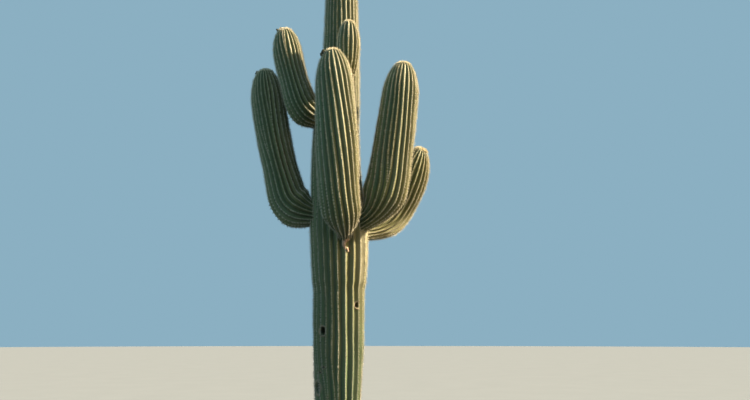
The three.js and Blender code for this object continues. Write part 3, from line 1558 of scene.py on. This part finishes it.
@dataclass(frozen=True)
class SpineStar:
    """The spines of one areole: a flat star of radials and a few stouter centrals.

    Attributes:
        radials: how many radials there are.
        radial: their length.
        radial_lengths: the least and most of that length that one has.
        radial_width: their width, as a share of a central's.
        radial_foot: how far from the areole's middle they start.
        lifts: the least and most that one leans outwards.
        turn_stray: how far one strays round the star, as a share of its distance to the next.
        side_share: how far the star spreads sideways, as a share of its spread along the crest.
        centrals: how many centrals there are.
        central: their length.
        central_lengths: the least and most of that length that one has.
        central_foot: how far out of the areole they start.
        drops: how far down and how far up one leans.
        central_stray: how far to each side one leans.
        width: a central's radius at its foot.
    """

    radials: int = 12
    radial: float = 0.0130
    radial_lengths: Span = (0.75, 1.25)
    radial_width: float = 0.8
    radial_foot: float = 0.002
    lifts: Span = (0.25, 0.75)
    turn_stray: float = 0.3
    side_share: float = 0.40
    centrals: int = 5
    central: float = 0.023
    central_lengths: Span = (0.6, 1.15)
    central_foot: float = 0.001
    drops: Span = (-0.9, 0.35)
    central_stray: float = 0.45
    width: float = 0.0012

    def template(self, random: np.random.Generator, age: Age) -> Template:
        """One areole's spines, different each time.

        Args:
            random: scatters them.
            age: their age, which picks their two materials.

        Returns:
            The spines, to be repeated.
        """
        body = bmesh.new()
        for number in range(self.radials):
            stray = random.uniform(-self.turn_stray, self.turn_stray)
            turn = 2.0 * math.pi * (number + stray) / self.radials
            lift = random.uniform(*self.lifts)
            way = Vector((math.sin(turn) * self.side_share, math.cos(turn), lift)).normalized()
            reach = self.radial * random.uniform(*self.radial_lengths)
            foot = Vector((way.x, way.y, 0.0)) * self.radial_foot
            add_spine(body, foot, foot + way * reach, self.width * self.radial_width, 2 * age.value)
        for _ in range(self.centrals):
            drop = random.uniform(*self.drops)
            aside = random.uniform(-self.central_stray, self.central_stray)
            way = Vector((aside, drop, 1.0)).normalized()
            reach = self.central * random.uniform(*self.central_lengths)
            foot = Vector((0.0, 0.0, self.central_foot))
            add_spine(body, foot, way * reach, self.width, 2 * age.value + 1)
        return Template.of(body)


@dataclass
class Areoles:
    """The areoles of one limb: where they sit along its crests, with their felt and spines.

    Attributes:
        limb: the limb.
        lowest: the place along the limb where the first ones sit.
        seed: scatters them.
        spacing: the distance between neighbours on one crest.
        stray: how far one strays along its crest, as a share of that.
        tip_gap: how far below the tip the last ones sit.
        samples: how finely the crests are measured.
        twin_from: how far a rib has divided where it gets a second row.
        twin_apart: how far the rows end up from the rib's middle, as a share of its width.
        room_needed: the least and most room that one needs near the tip to be there, as a share of the room
            below the dome.
        slope_step: how far up and down the crest is read to find its slope.
        limb_samples: how finely another limb is measured.
        buried: how near another limb's centre line one is dropped, as a share of that limb's radius.
        batch: how many are tried at once.
        pad: half the width, half the length and the height of a felt pad.
        pad_sides: how many sides a pad has.
        pad_lift: how far a pad's middle stands over the skin, as a share of its height.
        pad_sizes: the least and most of its size that a pad has.
        brown_share: how many of the pads are brown.
        star: the spines of one areole.
        variants: how many different ones there are of each age.
        star_turn: how far one is turned to each side, in radians.
        star_sizes: the least and most of its size that one has.
        tip_size: the size of one with no room, as a share of its full size.
        room_size: how much room adds to that.
        old_top: the height below which spines are old.
        old_waver: how far that height wavers.
        young_length: the length below the tip where spines are young.
        young_waver: how far that length wavers.
        random: draws every number by chance, in order.
        rib: each areole's rib.
        share: each one's place across its rib, from 0 to 1.
        along: each one's place along the limb.
        stands: each one's point and axes.
    """

    limb: Limb
    lowest: float
    seed: int
    spacing: float = 0.023
    stray: float = 0.16
    tip_gap: float = 0.002
    samples: int = 1500
    twin_from: float = 0.25
    twin_apart: float = 0.25
    room_needed: Span = (0.10, 0.62)
    slope_step: float = 0.004
    limb_samples: int = 160
    buried: float = 0.93
    batch: int = 2000
    pad: Triple = (0.0042, 0.0068, 0.0045)
    pad_sides: int = 6
    pad_lift: float = 0.25
    pad_sizes: Span = (0.8, 1.2)
    brown_share: float = 0.3
    star: SpineStar = SpineStar()
    variants: int = 8
    star_turn: float = 0.3
    star_sizes: Span = (0.78, 1.2)
    tip_size: float = 0.55
    room_size: float = 0.45
    old_top: float = 2.1
    old_waver: float = 0.25
    young_length: float = 0.30
    young_waver: float = 0.1
    random: np.random.Generator = field(init=False)
    rib: Array = field(init=False)
    share: Array = field(init=False)
    along: Array = field(init=False)
    stands: Stands = field(init=False)

    def __post_init__(self) -> None:
        """Places the areoles, in two rows where a rib has divided."""
        limb = self.limb
        self.random = np.random.default_rng(self.seed)
        places = np.linspace(self.lowest, limb.end - self.tip_gap, self.samples)
        steps = np.hypot(np.diff(places), np.diff(limb.crest_radius(places)))
        lengths = np.concatenate(([0.0], np.cumsum(steps)))
        count = int(lengths[-1] / self.spacing)
        ribs: list[Array] = []
        shares: list[Array] = []
        alongs: list[Array] = []
        for rib in range(limb.ribs.count):
            first = self.random.uniform(0, 1)
            stray = self.random.uniform(-self.stray, self.stray, count)
            along = np.interp((np.arange(count) + first + stray) * self.spacing, lengths, places)
            divided = limb.ribs.divided(along)[:, rib]
            opened = np.clip((divided - self.twin_from) / (1.0 - self.twin_from), 0.0, 1.0)
            apart = self.twin_apart * np.sqrt(opened)
            for side, kept in ((-1.0, divided > self.twin_from), (1.0, np.ones(count, bool))):
                ribs.append(np.full(kept.sum(), rib))
                shares.append((0.5 + side * apart)[kept])
                alongs.append(along[kept])
        self.rib = np.concatenate(ribs)
        self.share = np.concatenate(shares)
        self.along = np.concatenate(alongs)
        room = self.room()
        self.pick(room > self.random.uniform(*self.room_needed, len(room)))
        self.stands = self.frames()

    def room(self) -> Array:
        """How wide each areole's rib is there, as a share of its width below the dome."""
        return self.limb.crest_radius(self.along) / self.limb.girth.at(self.along)

    def pick(self, kept: Array) -> None:
        """Keeps some of the areoles."""
        self.rib, self.share, self.along = self.rib[kept], self.share[kept], self.along[kept]

    def frames(self) -> Stands:
        """Each areole's place, with its axes round the limb, up the crest and outwards.

        Returns:
            The places.
        """
        limb = self.limb
        points, _, around = limb.skin_at(self.rib, self.share, self.along)
        higher = np.minimum(self.along + self.slope_step, limb.end)
        above, _, _ = limb.skin_at(self.rib, self.share, higher)
        below, _, _ = limb.skin_at(self.rib, self.share, self.along - self.slope_step)
        up = unit(above - below)
        outward = unit(np.cross(around, up))
        return Stands(points, np.stack([np.cross(up, outward), up, outward], axis=2))

    def outside(self, others: Sequence[Limb]) -> None:
        """Drops the areoles that lie inside other limbs.

        Args:
            others: the limbs that this one meets.
        """
        kept = np.ones(len(self.along), bool)
        for other in others:
            samples = np.linspace(other.start, other.end, self.limb_samples)
            centre = other.line.at(samples)[0]
            radius = other.crest_radius(samples) * self.buried
            for first in range(0, len(kept), self.batch):
                part = slice(first, first + self.batch)
                gaps = np.linalg.norm(self.stands.points[part, None, :] - centre[None, :, :], axis=2)
                kept[part] &= (gaps > radius[None, :]).all(axis=1)
        self.pick(kept)
        self.stands = self.stands.picked(kept)

    def felt(self, finishes: Sequence[bpy.types.Material]) -> bpy.types.Object:
        """The felt pads as one piece.

        Args:
            finishes: the materials of grey and brown felt.

        Returns:
            The piece.
        """
        body = bmesh.new()
        bmesh.ops.create_cone(
            body, cap_ends=True, cap_tris=False, segments=self.pad_sides, radius1=1.0, radius2=0.0,
            depth=1.0, matrix=Matrix.Translation((0.0, 0.0, self.pad_lift)),
        )
        bmesh.ops.scale(body, vec=self.pad, verts=body.verts)
        grey = Template.of(body)
        brown = Template(grey.corners, grey.triangles, grey.finishes + 1)
        picks = (self.random.uniform(0, 1, len(self.along)) < self.brown_share).astype(int)
        stands = self.stands.scaled(self.random.uniform(*self.pad_sizes, len(self.along)))
        pads = joined_copies(f"{self.limb.name}_felt", [grey, brown], picks, stands, finishes)
        return keep_piece(pads)

    def ages(self) -> Array:
        """The age of each areole's spines, from young at the tip to old at the foot of the trunk.

        Returns:
            Age values.
        """
        count = len(self.along)
        height = self.stands.points[:, 2] + self.random.uniform(-self.old_waver, self.old_waver, count)
        waver = self.random.uniform(-self.young_waver, self.young_waver, count)
        below_tip = self.limb.end - self.along + waver
        age = np.full(count, Age.MATURE.value)
        age[height < self.old_top] = Age.OLD.value
        age[below_tip < self.young_length] = Age.YOUNG.value
        return age

    def spines(self, finishes: Sequence[bpy.types.Material]) -> None:
        """The spines as a piece, or as several up the limb where one would be too large.

        Args:
            finishes: two materials for each age, for the radials and the centrals.
        """
        ages = self.ages()
        templates = [self.star.template(self.random, age) for age in Age for _ in range(self.variants)]
        picks = ages * self.variants + self.random.integers(0, self.variants, len(ages))
        stands = self.stands.turned(self.random.uniform(-self.star_turn, self.star_turn, len(ages)))
        size = self.random.uniform(*self.star_sizes, len(ages))
        stands = stands.scaled(size * (self.tip_size + self.room_size * self.room()))
        pieces = math.ceil(len(ages) * len(templates[0].triangles) / MOST_TRIANGLES)
        upwards = np.argsort(self.along, kind="stable")
        for number, chosen in enumerate(np.array_split(upwards, pieces), start=1):
            name = f"{self.limb.name}_spines_{number}" if pieces > 1 else f"{self.limb.name}_spines"
            made = joined_copies(name, templates, picks[chosen], stands.picked(chosen), finishes)
            keep_piece(made)


@dataclass(frozen=True)
class Crown:
    """The crown of upright young spines at a limb's tip.

    Attributes:
        limb: the limb.
        seed: scatters the tufts.
        tufts: how many tufts there are.
        spines: how many spines a tuft has.
        reach: how far below the tip the lowest tufts sit, as a share of the dome.
        gathering: the power by which they gather at the tip.
        ribs_middle: the part of each rib's width that they sit on.
        tip_gap: how far below the tip the highest ones sit.
        upright: how strongly they stand up along the limb.
        sunk: how deep a tuft stands in the skin.
        sizes: the least and most of its size that a tuft has.
        splay: how far to each side a spine leans.
        length: a spine's length.
        lengths: the least and most of that length that one has.
        width: its radius at the foot.
        kinds: the material of each kind of tuft.
    """

    limb: Limb
    seed: int
    tufts: int = 420
    spines: int = 3
    reach: float = 0.10
    gathering: float = 2.5
    ribs_middle: Span = (0.3, 0.7)
    tip_gap: float = 0.0005
    upright: float = 0.55
    sunk: float = 0.002
    sizes: Span = (0.7, 1.25)
    splay: float = 0.5
    length: float = 0.022
    lengths: Span = (0.7, 1.15)
    width: float = 0.0012
    kinds: tuple[int, ...] = (0, 0, 0, 1)

    def build(self, finishes: Sequence[bpy.types.Material]) -> bpy.types.Object:
        """The crown's spines as one piece.

        Args:
            finishes: the materials of pale and golden spines.

        Returns:
            The piece.
        """
        limb = self.limb
        random = np.random.default_rng(self.seed)
        spread = np.sqrt(random.uniform(0.0, 1.0, self.tufts))
        radius = limb.crest_radius(np.array([limb.end - limb.dome.length]))[0]
        below = limb.dome.length * self.reach * spread**self.gathering
        rib = random.integers(0, limb.ribs.count, self.tufts)
        share = random.uniform(*self.ribs_middle, self.tufts)
        along = limb.end - below - self.tip_gap
        points, _, _ = limb.skin_at(rib, share, along)
        centre, direction, _, _ = limb.line.at(along)
        outward = unit(points - centre + direction * radius * self.upright)
        around = unit(np.cross(direction, outward))
        axes = np.stack([around, np.cross(outward, around), outward], axis=2)
        stands = Stands(points - outward * self.sunk, axes)
        stands = stands.turned(random.uniform(0.0, 2.0 * np.pi, self.tufts))
        stands = stands.scaled(random.uniform(*self.sizes, self.tufts))
        templates = [self.tuft(random, finish) for finish in self.kinds]
        picks = random.integers(0, len(templates), self.tufts)
        piece = joined_copies(f"{limb.name}_crown", templates, picks, stands, finishes)
        return keep_piece(piece)

    def tuft(self, random: np.random.Generator, finish: int) -> Template:
        """One tuft, different each time.

        Args:
            random: scatters its spines.
            finish: the material slot of its spines.

        Returns:
            The tuft, to be repeated.
        """
        body = bmesh.new()
        for _ in range(self.spines):
            aside = random.uniform(-self.splay, self.splay, 2)
            way = Vector((*aside, 1.0)).normalized()
            add_spine(body, Vector(), way * self.length * random.uniform(*self.lengths), self.width, finish)
        return Template.of(body)


@dataclass(frozen=True)
class CreaseScar:
    """The twisted knot of healed cork on the trunk, in the crease under the front arm.

    Attributes:
        bearing: the way it faces from the trunk's axis.
        top: its upper end.
        bottom: its lower end.
        lumps: how many lumps make it up.
        size: the radius of its largest lump.
        seed: scatters the lumps.
        sway: degrees that it sways to each side.
        sways: radians of that sway from end to end.
        stray: degrees that a lump strays.
        sunk: how deep the lumps stand in the trunk.
        taper: how much smaller the lowest lump is, as a share of the largest.
        sizes: the least and most of its size that a lump has.
        tilt: degrees that a lump leans to each side.
        stretch: how wide, deep and tall a lump is for its size.
        fineness: how finely a lump is divided.
        knots: how fine the knots on it are.
        knot_height: how high those stand, as a share of its size.
    """

    bearing: float = -74.0
    top: float = 2.560
    bottom: float = 2.395
    lumps: int = 11
    size: float = 0.026
    seed: int = 7
    sway: float = 4.2
    sways: float = 7.5
    stray: float = 1.2
    sunk: float = 0.004
    taper: float = 0.55
    sizes: Span = (0.75, 1.1)
    tilt: float = 35.0
    stretch: Triple = (0.85, 0.75, 1.45)
    fineness: int = 4
    knots: float = 90.0
    knot_height: float = 0.30

    def build(self, trunk: Limb, finish: bpy.types.Material) -> bpy.types.Object:
        """Makes the knot as a piece.

        Args:
            trunk: the trunk that it grew on.
            finish: its material.

        Returns:
            The piece.
        """
        random = np.random.default_rng(self.seed)
        stretch = Matrix.Diagonal((*self.stretch, 1.0))
        body = bmesh.new()
        for lump in range(self.lumps):
            share = lump / (self.lumps - 1)
            height = self.top + (self.bottom - self.top) * share
            stray = random.uniform(-self.stray, self.stray)
            turn = math.radians(self.bearing + self.sway * math.sin(share * self.sways) + stray)
            reach = float(trunk.crest_radius(np.array([height]))[0]) - self.sunk
            axis = trunk.line.at(np.array([height]))[0][0]
            size = self.size * (1.0 - self.taper * share) * random.uniform(*self.sizes)
            spot = (axis[0] + math.cos(turn) * reach, axis[1] + math.sin(turn) * reach, height)
            tilt = Matrix.Rotation(math.radians(random.uniform(-self.tilt, self.tilt)), 4, "Y")
            place = Matrix.Translation(spot) @ tilt @ stretch
            made = bmesh.ops.create_icosphere(body, subdivisions=self.fineness, radius=size, matrix=place)
            for vert in made["verts"]:
                knot = noise.noise(vert.co * self.knots)
                vert.co += vert.co.normalized() * knot * size * self.knot_height
        return keep_piece(smooth_object("crease_scar", body, finish))


@dataclass(frozen=True)
class BudCluster:
    """A few dry flower buds on the shoulder of an arm's tip.

    Attributes:
        arm: the arm's name.
        bearing: the way they face from its tip.
        below: how far they sit below the tip, along the dome.
        buds: how many there are.
        seed: scatters them.
        length: a bud's length.
        width: half its width.
        spread: how far they lie apart.
        scatter: the least and most of that spread that one sits below the others.
        sunk: how deep their feet stand in the arm.
        outward: how strongly they lean outwards.
        upward: the least and most that one leans up along the arm.
        fanning: how strongly they fan out sideways.
        lengths: the least and most of its length that one has.
        planted: where along its length a bud's middle stands over its foot.
        fineness: how finely a bud is divided.
    """

    arm: str
    bearing: float
    below: float
    buds: int
    seed: int
    length: float = 0.034
    width: float = 0.0105
    spread: float = 0.030
    scatter: Span = (-0.4, 0.6)
    sunk: float = 0.004
    outward: float = 0.9
    upward: Span = (0.3, 0.9)
    fanning: float = 9.0
    lengths: Span = (0.75, 1.1)
    planted: float = 0.42
    fineness: int = 2

    def build(self, limb: Limb, finish: bpy.types.Material) -> bpy.types.Object:
        """Makes the buds as a piece.

        Args:
            limb: the arm that they grew on.
            finish: their material.

        Returns:
            The piece.
        """
        random = np.random.default_rng(self.seed)
        turn = math.radians(self.bearing)
        way = np.array([math.cos(turn), math.sin(turn), 0.0])
        body = bmesh.new()
        for _ in range(self.buds):
            along = np.array([limb.end - self.below - random.uniform(*self.scatter) * self.spread])
            centre, direction, _, _ = limb.line.at(along)
            side = unit(np.cross(direction[0], way)) * random.uniform(-1.0, 1.0) * self.spread
            reach = float(limb.crest_radius(along)[0]) - self.sunk
            foot = Vector(centre[0] + way * reach + side)
            upward = direction[0] * random.uniform(*self.upward)
            lean = Vector(way * self.outward + upward + side * self.fanning).normalized()
            length = self.length * random.uniform(*self.lengths)
            turned = lean.to_track_quat("Z", "Y").to_matrix().to_4x4()
            stretch = Matrix.Diagonal((self.width, self.width, length / 2.0, 1.0))
            place = Matrix.Translation(foot + lean * length * self.planted) @ turned @ stretch
            bmesh.ops.create_icosphere(body, subdivisions=self.fineness, radius=1.0, matrix=place)
        return keep_piece(smooth_object(f"{self.arm}_buds", body, finish))


TRUNK_HOLES = (
    Hole(bearing=-128.7, height=1.650, half_width=0.034, half_height=0.036, depth=0.060),
    Hole(bearing=-37.5, height=1.890, half_width=0.026, half_height=0.028, depth=0.050),
    Hole(bearing=-128.4, height=1.320, half_width=0.022, half_height=0.010, depth=0.014, rim=0.003),
    Hole(bearing=-139.8, height=1.270, half_width=0.016, half_height=0.009, depth=0.012, rim=0.003),
    Hole(bearing=-150.6, height=1.135, half_width=0.040, half_height=0.055, depth=0.030, rim=0.004),
)
# Patches of weathering and painted sunlight on the trunk's +X side.
TRUNK_WEAR_AND_PAINTED_SUN = (
    WearAndPaintedSunPatch(bearing=-24.0, height=2.42, half_turn=26.0, half_height=0.50),
    WearAndPaintedSunPatch(bearing=-8.0, height=3.40, half_turn=22.0, half_height=0.95),
)
BUDS = (
    BudCluster("left_high_arm", bearing=188.0, below=0.004, buds=6, seed=41),
    BudCluster("front_arm", bearing=196.0, below=0.050, buds=9, seed=42),
    BudCluster("left_low_arm", bearing=192.0, below=0.030, buds=3, seed=43, length=0.024, width=0.0085),
)


@dataclass(frozen=True)
class Saguaro:
    """The whole plant.

    Attributes:
        trunk: the trunk's sizes.
        arms: the arms' sizes.
        holes: the holes in the trunk.
        worn: the trunk's patches of weathering and painted sunlight.
        bark_top: the height that bark reaches on the trunk.
        lowest_areoles: the height of the trunk's lowest areoles.
        areole_seed: the seed of the trunk's areoles, which grows by one from limb to limb.
        crown_seed: the seed of the trunk's crown, which grows likewise.
        scar: the knot under the front arm.
        buds: the dry buds.
    """

    trunk: TrunkSizes = TrunkSizes()
    arms: tuple[ArmSizes, ...] = ARMS
    holes: tuple[Hole, ...] = TRUNK_HOLES
    worn: tuple[WearAndPaintedSunPatch, ...] = TRUNK_WEAR_AND_PAINTED_SUN
    bark_top: float = 0.55
    lowest_areoles: float = 0.30
    areole_seed: int = 100
    crown_seed: int = 200
    scar: CreaseScar = CreaseScar()
    buds: tuple[BudCluster, ...] = BUDS

    def build(self) -> None:
        """Builds every piece of the plant."""
        skin = SkinFinish().material()
        felt = [finish.material() for finish in FELT]
        spines = [finish.material() for finish in SPINES]
        crown = [finish.material() for finish in CROWN]
        trunk = self.trunk.limb()
        arms = [arm.limb(self.trunk) for arm in self.arms]
        limbs = [trunk, *arms]
        for number, limb in enumerate(limbs):
            if limb is trunk:
                lowest = self.lowest_areoles
                LimbSkin(limb, self.holes, self.worn, self.bark_top).build(skin)
            else:
                lowest = limb.start
                LimbSkin(limb).build(skin)
            areoles = Areoles(limb, lowest, self.areole_seed + number)
            areoles.outside([other for other in limbs if other is not limb])
            areoles.felt(felt)
            areoles.spines(spines)
            Crown(limb, self.crown_seed + number).build(crown)
        self.scar.build(trunk, CorkFinish().material())
        bud = DRY_BUD.material()
        for cluster in self.buds:
            cluster.build(next(arm for arm in arms if arm.name == cluster.arm), bud)


# The studio


@dataclass(frozen=True)
class SoftLight:
    """A large round soft light.

    Attributes:
        name: its name.
        place: where it hangs.
        size: its diameter.
        power: its power in watts.
        colour: its colour.
    """

    name: str
    place: Triple
    size: float
    power: float
    colour: Colour

    def hang(self, aim: Triple) -> None:
        """Hangs the light.

        Args:
            aim: the point that it looks at.
        """
        data = bpy.data.lights.new(self.name, "AREA")
        data.shape = "DISK"
        data.size = self.size
        data.energy = self.power
        data.color = self.colour
        light = bpy.data.objects.new(self.name, data)
        light.location = self.place
        light.rotation_euler = (Vector(self.place) - Vector(aim)).to_track_quat("Z", "Y").to_euler()
        bpy.context.scene.collection.objects.link(light)


@dataclass(frozen=True)
class Studio:
    """Camera, light and floor.

    Attributes:
        camera: the camera's place, at eye level.
        tilt: degrees that it looks up.
        lens: its focal length in millimetres.
        sensor: its sensor's width in millimetres.
        view_length: how far it sees.
        sun_bearing: the way to the sun, anticlockwise from +X seen from above.
        sun_height: degrees of the sun above the horizon.
        sun_power: its power.
        sun_colour: its colour.
        sun_width: its width in degrees.
        lights: the soft lights.
        aim: the middle of the plant, which they look at.
        sky_colour: colour of the light from above the horizon.
        ground_colour: colour of the light from below it.
        sky_power: how strong both are.
        horizon: heights, as shares of straight up, between which one turns to the other.
        floor_radius: the floor's radius.
        floor_sides: how many sides its edge has.
    """

    camera: Triple = (0.35, -7.10, 1.60)
    tilt: float = 10.6
    lens: float = 35.0
    sensor: float = 36.0
    view_length: float = 300.0
    sun_bearing: float = 7.0
    sun_height: float = 35.0
    sun_power: float = 24.0
    sun_colour: Colour = (1.0, 0.82, 0.55)
    sun_width: float = 1.2
    lights: tuple[SoftLight, ...] = (
        SoftLight("fill", place=(-6.5, -6.0, 6.0), size=6.0, power=150.0, colour=(0.62, 0.92, 0.80)),
        SoftLight("glow", place=(9.0, -3.0, 4.5), size=7.0, power=500.0, colour=(1.0, 0.62, 0.16)),
    )
    aim: Triple = (0.0, 0.0, 2.8)
    sky_colour: Colour = (0.48, 0.80, 1.00)
    ground_colour: Colour = (0.05, 0.07, 0.07)
    sky_power: float = 0.54
    horizon: Span = (-0.10, -0.04)
    floor_radius: float = 120.0
    floor_sides: int = 96

    def build(self) -> None:
        """Makes the camera, the light and the floor."""
        self.add_camera()
        self.add_sun()
        for light in self.lights:
            light.hang(self.aim)
        self.add_sky()
        self.add_floor()
        bpy.context.scene.view_settings.view_transform = "Standard"

    def add_camera(self) -> None:
        """Stands the camera at eye level, looking up at the plant."""
        data = bpy.data.cameras.new("camera")
        data.lens = self.lens
        data.sensor_width = self.sensor
        data.clip_end = self.view_length
        camera = bpy.data.objects.new("camera", data)
        camera.location = self.camera
        camera.rotation_euler = (math.radians(90.0 + self.tilt), 0.0, 0.0)
        bpy.context.scene.collection.objects.link(camera)
        bpy.context.scene.camera = camera

    def add_sun(self) -> None:
        """Hangs a low warm sun at the plant's right, a little behind it."""
        data = bpy.data.lights.new("sun", "SUN")
        data.energy = self.sun_power
        data.color = self.sun_colour
        data.angle = math.radians(self.sun_width)
        turn = math.radians(self.sun_bearing)
        rise = math.radians(self.sun_height)
        way = Vector((math.cos(rise) * math.cos(turn), math.cos(rise) * math.sin(turn), math.sin(rise)))
        sun = bpy.data.objects.new("sun", data)
        sun.rotation_euler = way.to_track_quat("Z", "Y").to_euler()
        bpy.context.scene.collection.objects.link(sun)

    def add_sky(self) -> None:
        """Fills the world with soft pale light from above the horizon, and next to none from below."""
        world = bpy.data.worlds.new("studio")
        world.use_nodes = True
        tree = world.node_tree
        background = tree.nodes["Background"]
        background.inputs["Strength"].default_value = self.sky_power
        way = tree.nodes.new("ShaderNodeSeparateXYZ")
        tree.links.new(tree.nodes.new("ShaderNodeTexCoord").outputs["Generated"], way.inputs["Vector"])
        rise = tree.nodes.new("ShaderNodeMapRange")
        rise.inputs["From Min"].default_value = self.horizon[0]
        rise.inputs["From Max"].default_value = self.horizon[1]
        tree.links.new(way.outputs["Z"], rise.inputs["Value"])
        mix = tree.nodes.new("ShaderNodeMix")
        mix.data_type = "RGBA"
        mix.inputs["A"].default_value = (*self.ground_colour, 1.0)
        mix.inputs["B"].default_value = (*self.sky_colour, 1.0)
        tree.links.new(rise.outputs["Result"], mix.inputs["Factor"])
        tree.links.new(mix.outputs["Result"], background.inputs["Color"])
        bpy.context.scene.world = world

    def add_floor(self) -> None:
        """Lays a plain round floor at ground level, which throws no light back up."""
        body = bmesh.new()
        bmesh.ops.create_circle(body, cap_ends=True, segments=self.floor_sides, radius=self.floor_radius)
        mesh = bpy.data.meshes.new("floor")
        body.to_mesh(mesh)
        body.free()
        mesh.materials.append(FloorFinish().material())
        floor = linked_object("floor", mesh)
        floor.visible_diffuse = False


def main() -> None:
    """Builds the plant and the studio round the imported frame."""
    logging.basicConfig(level=logging.INFO, format="%(name)s: %(message)s")
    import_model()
    Studio().build()
    Saguaro().build()


if __name__ == "__main__":
    main()
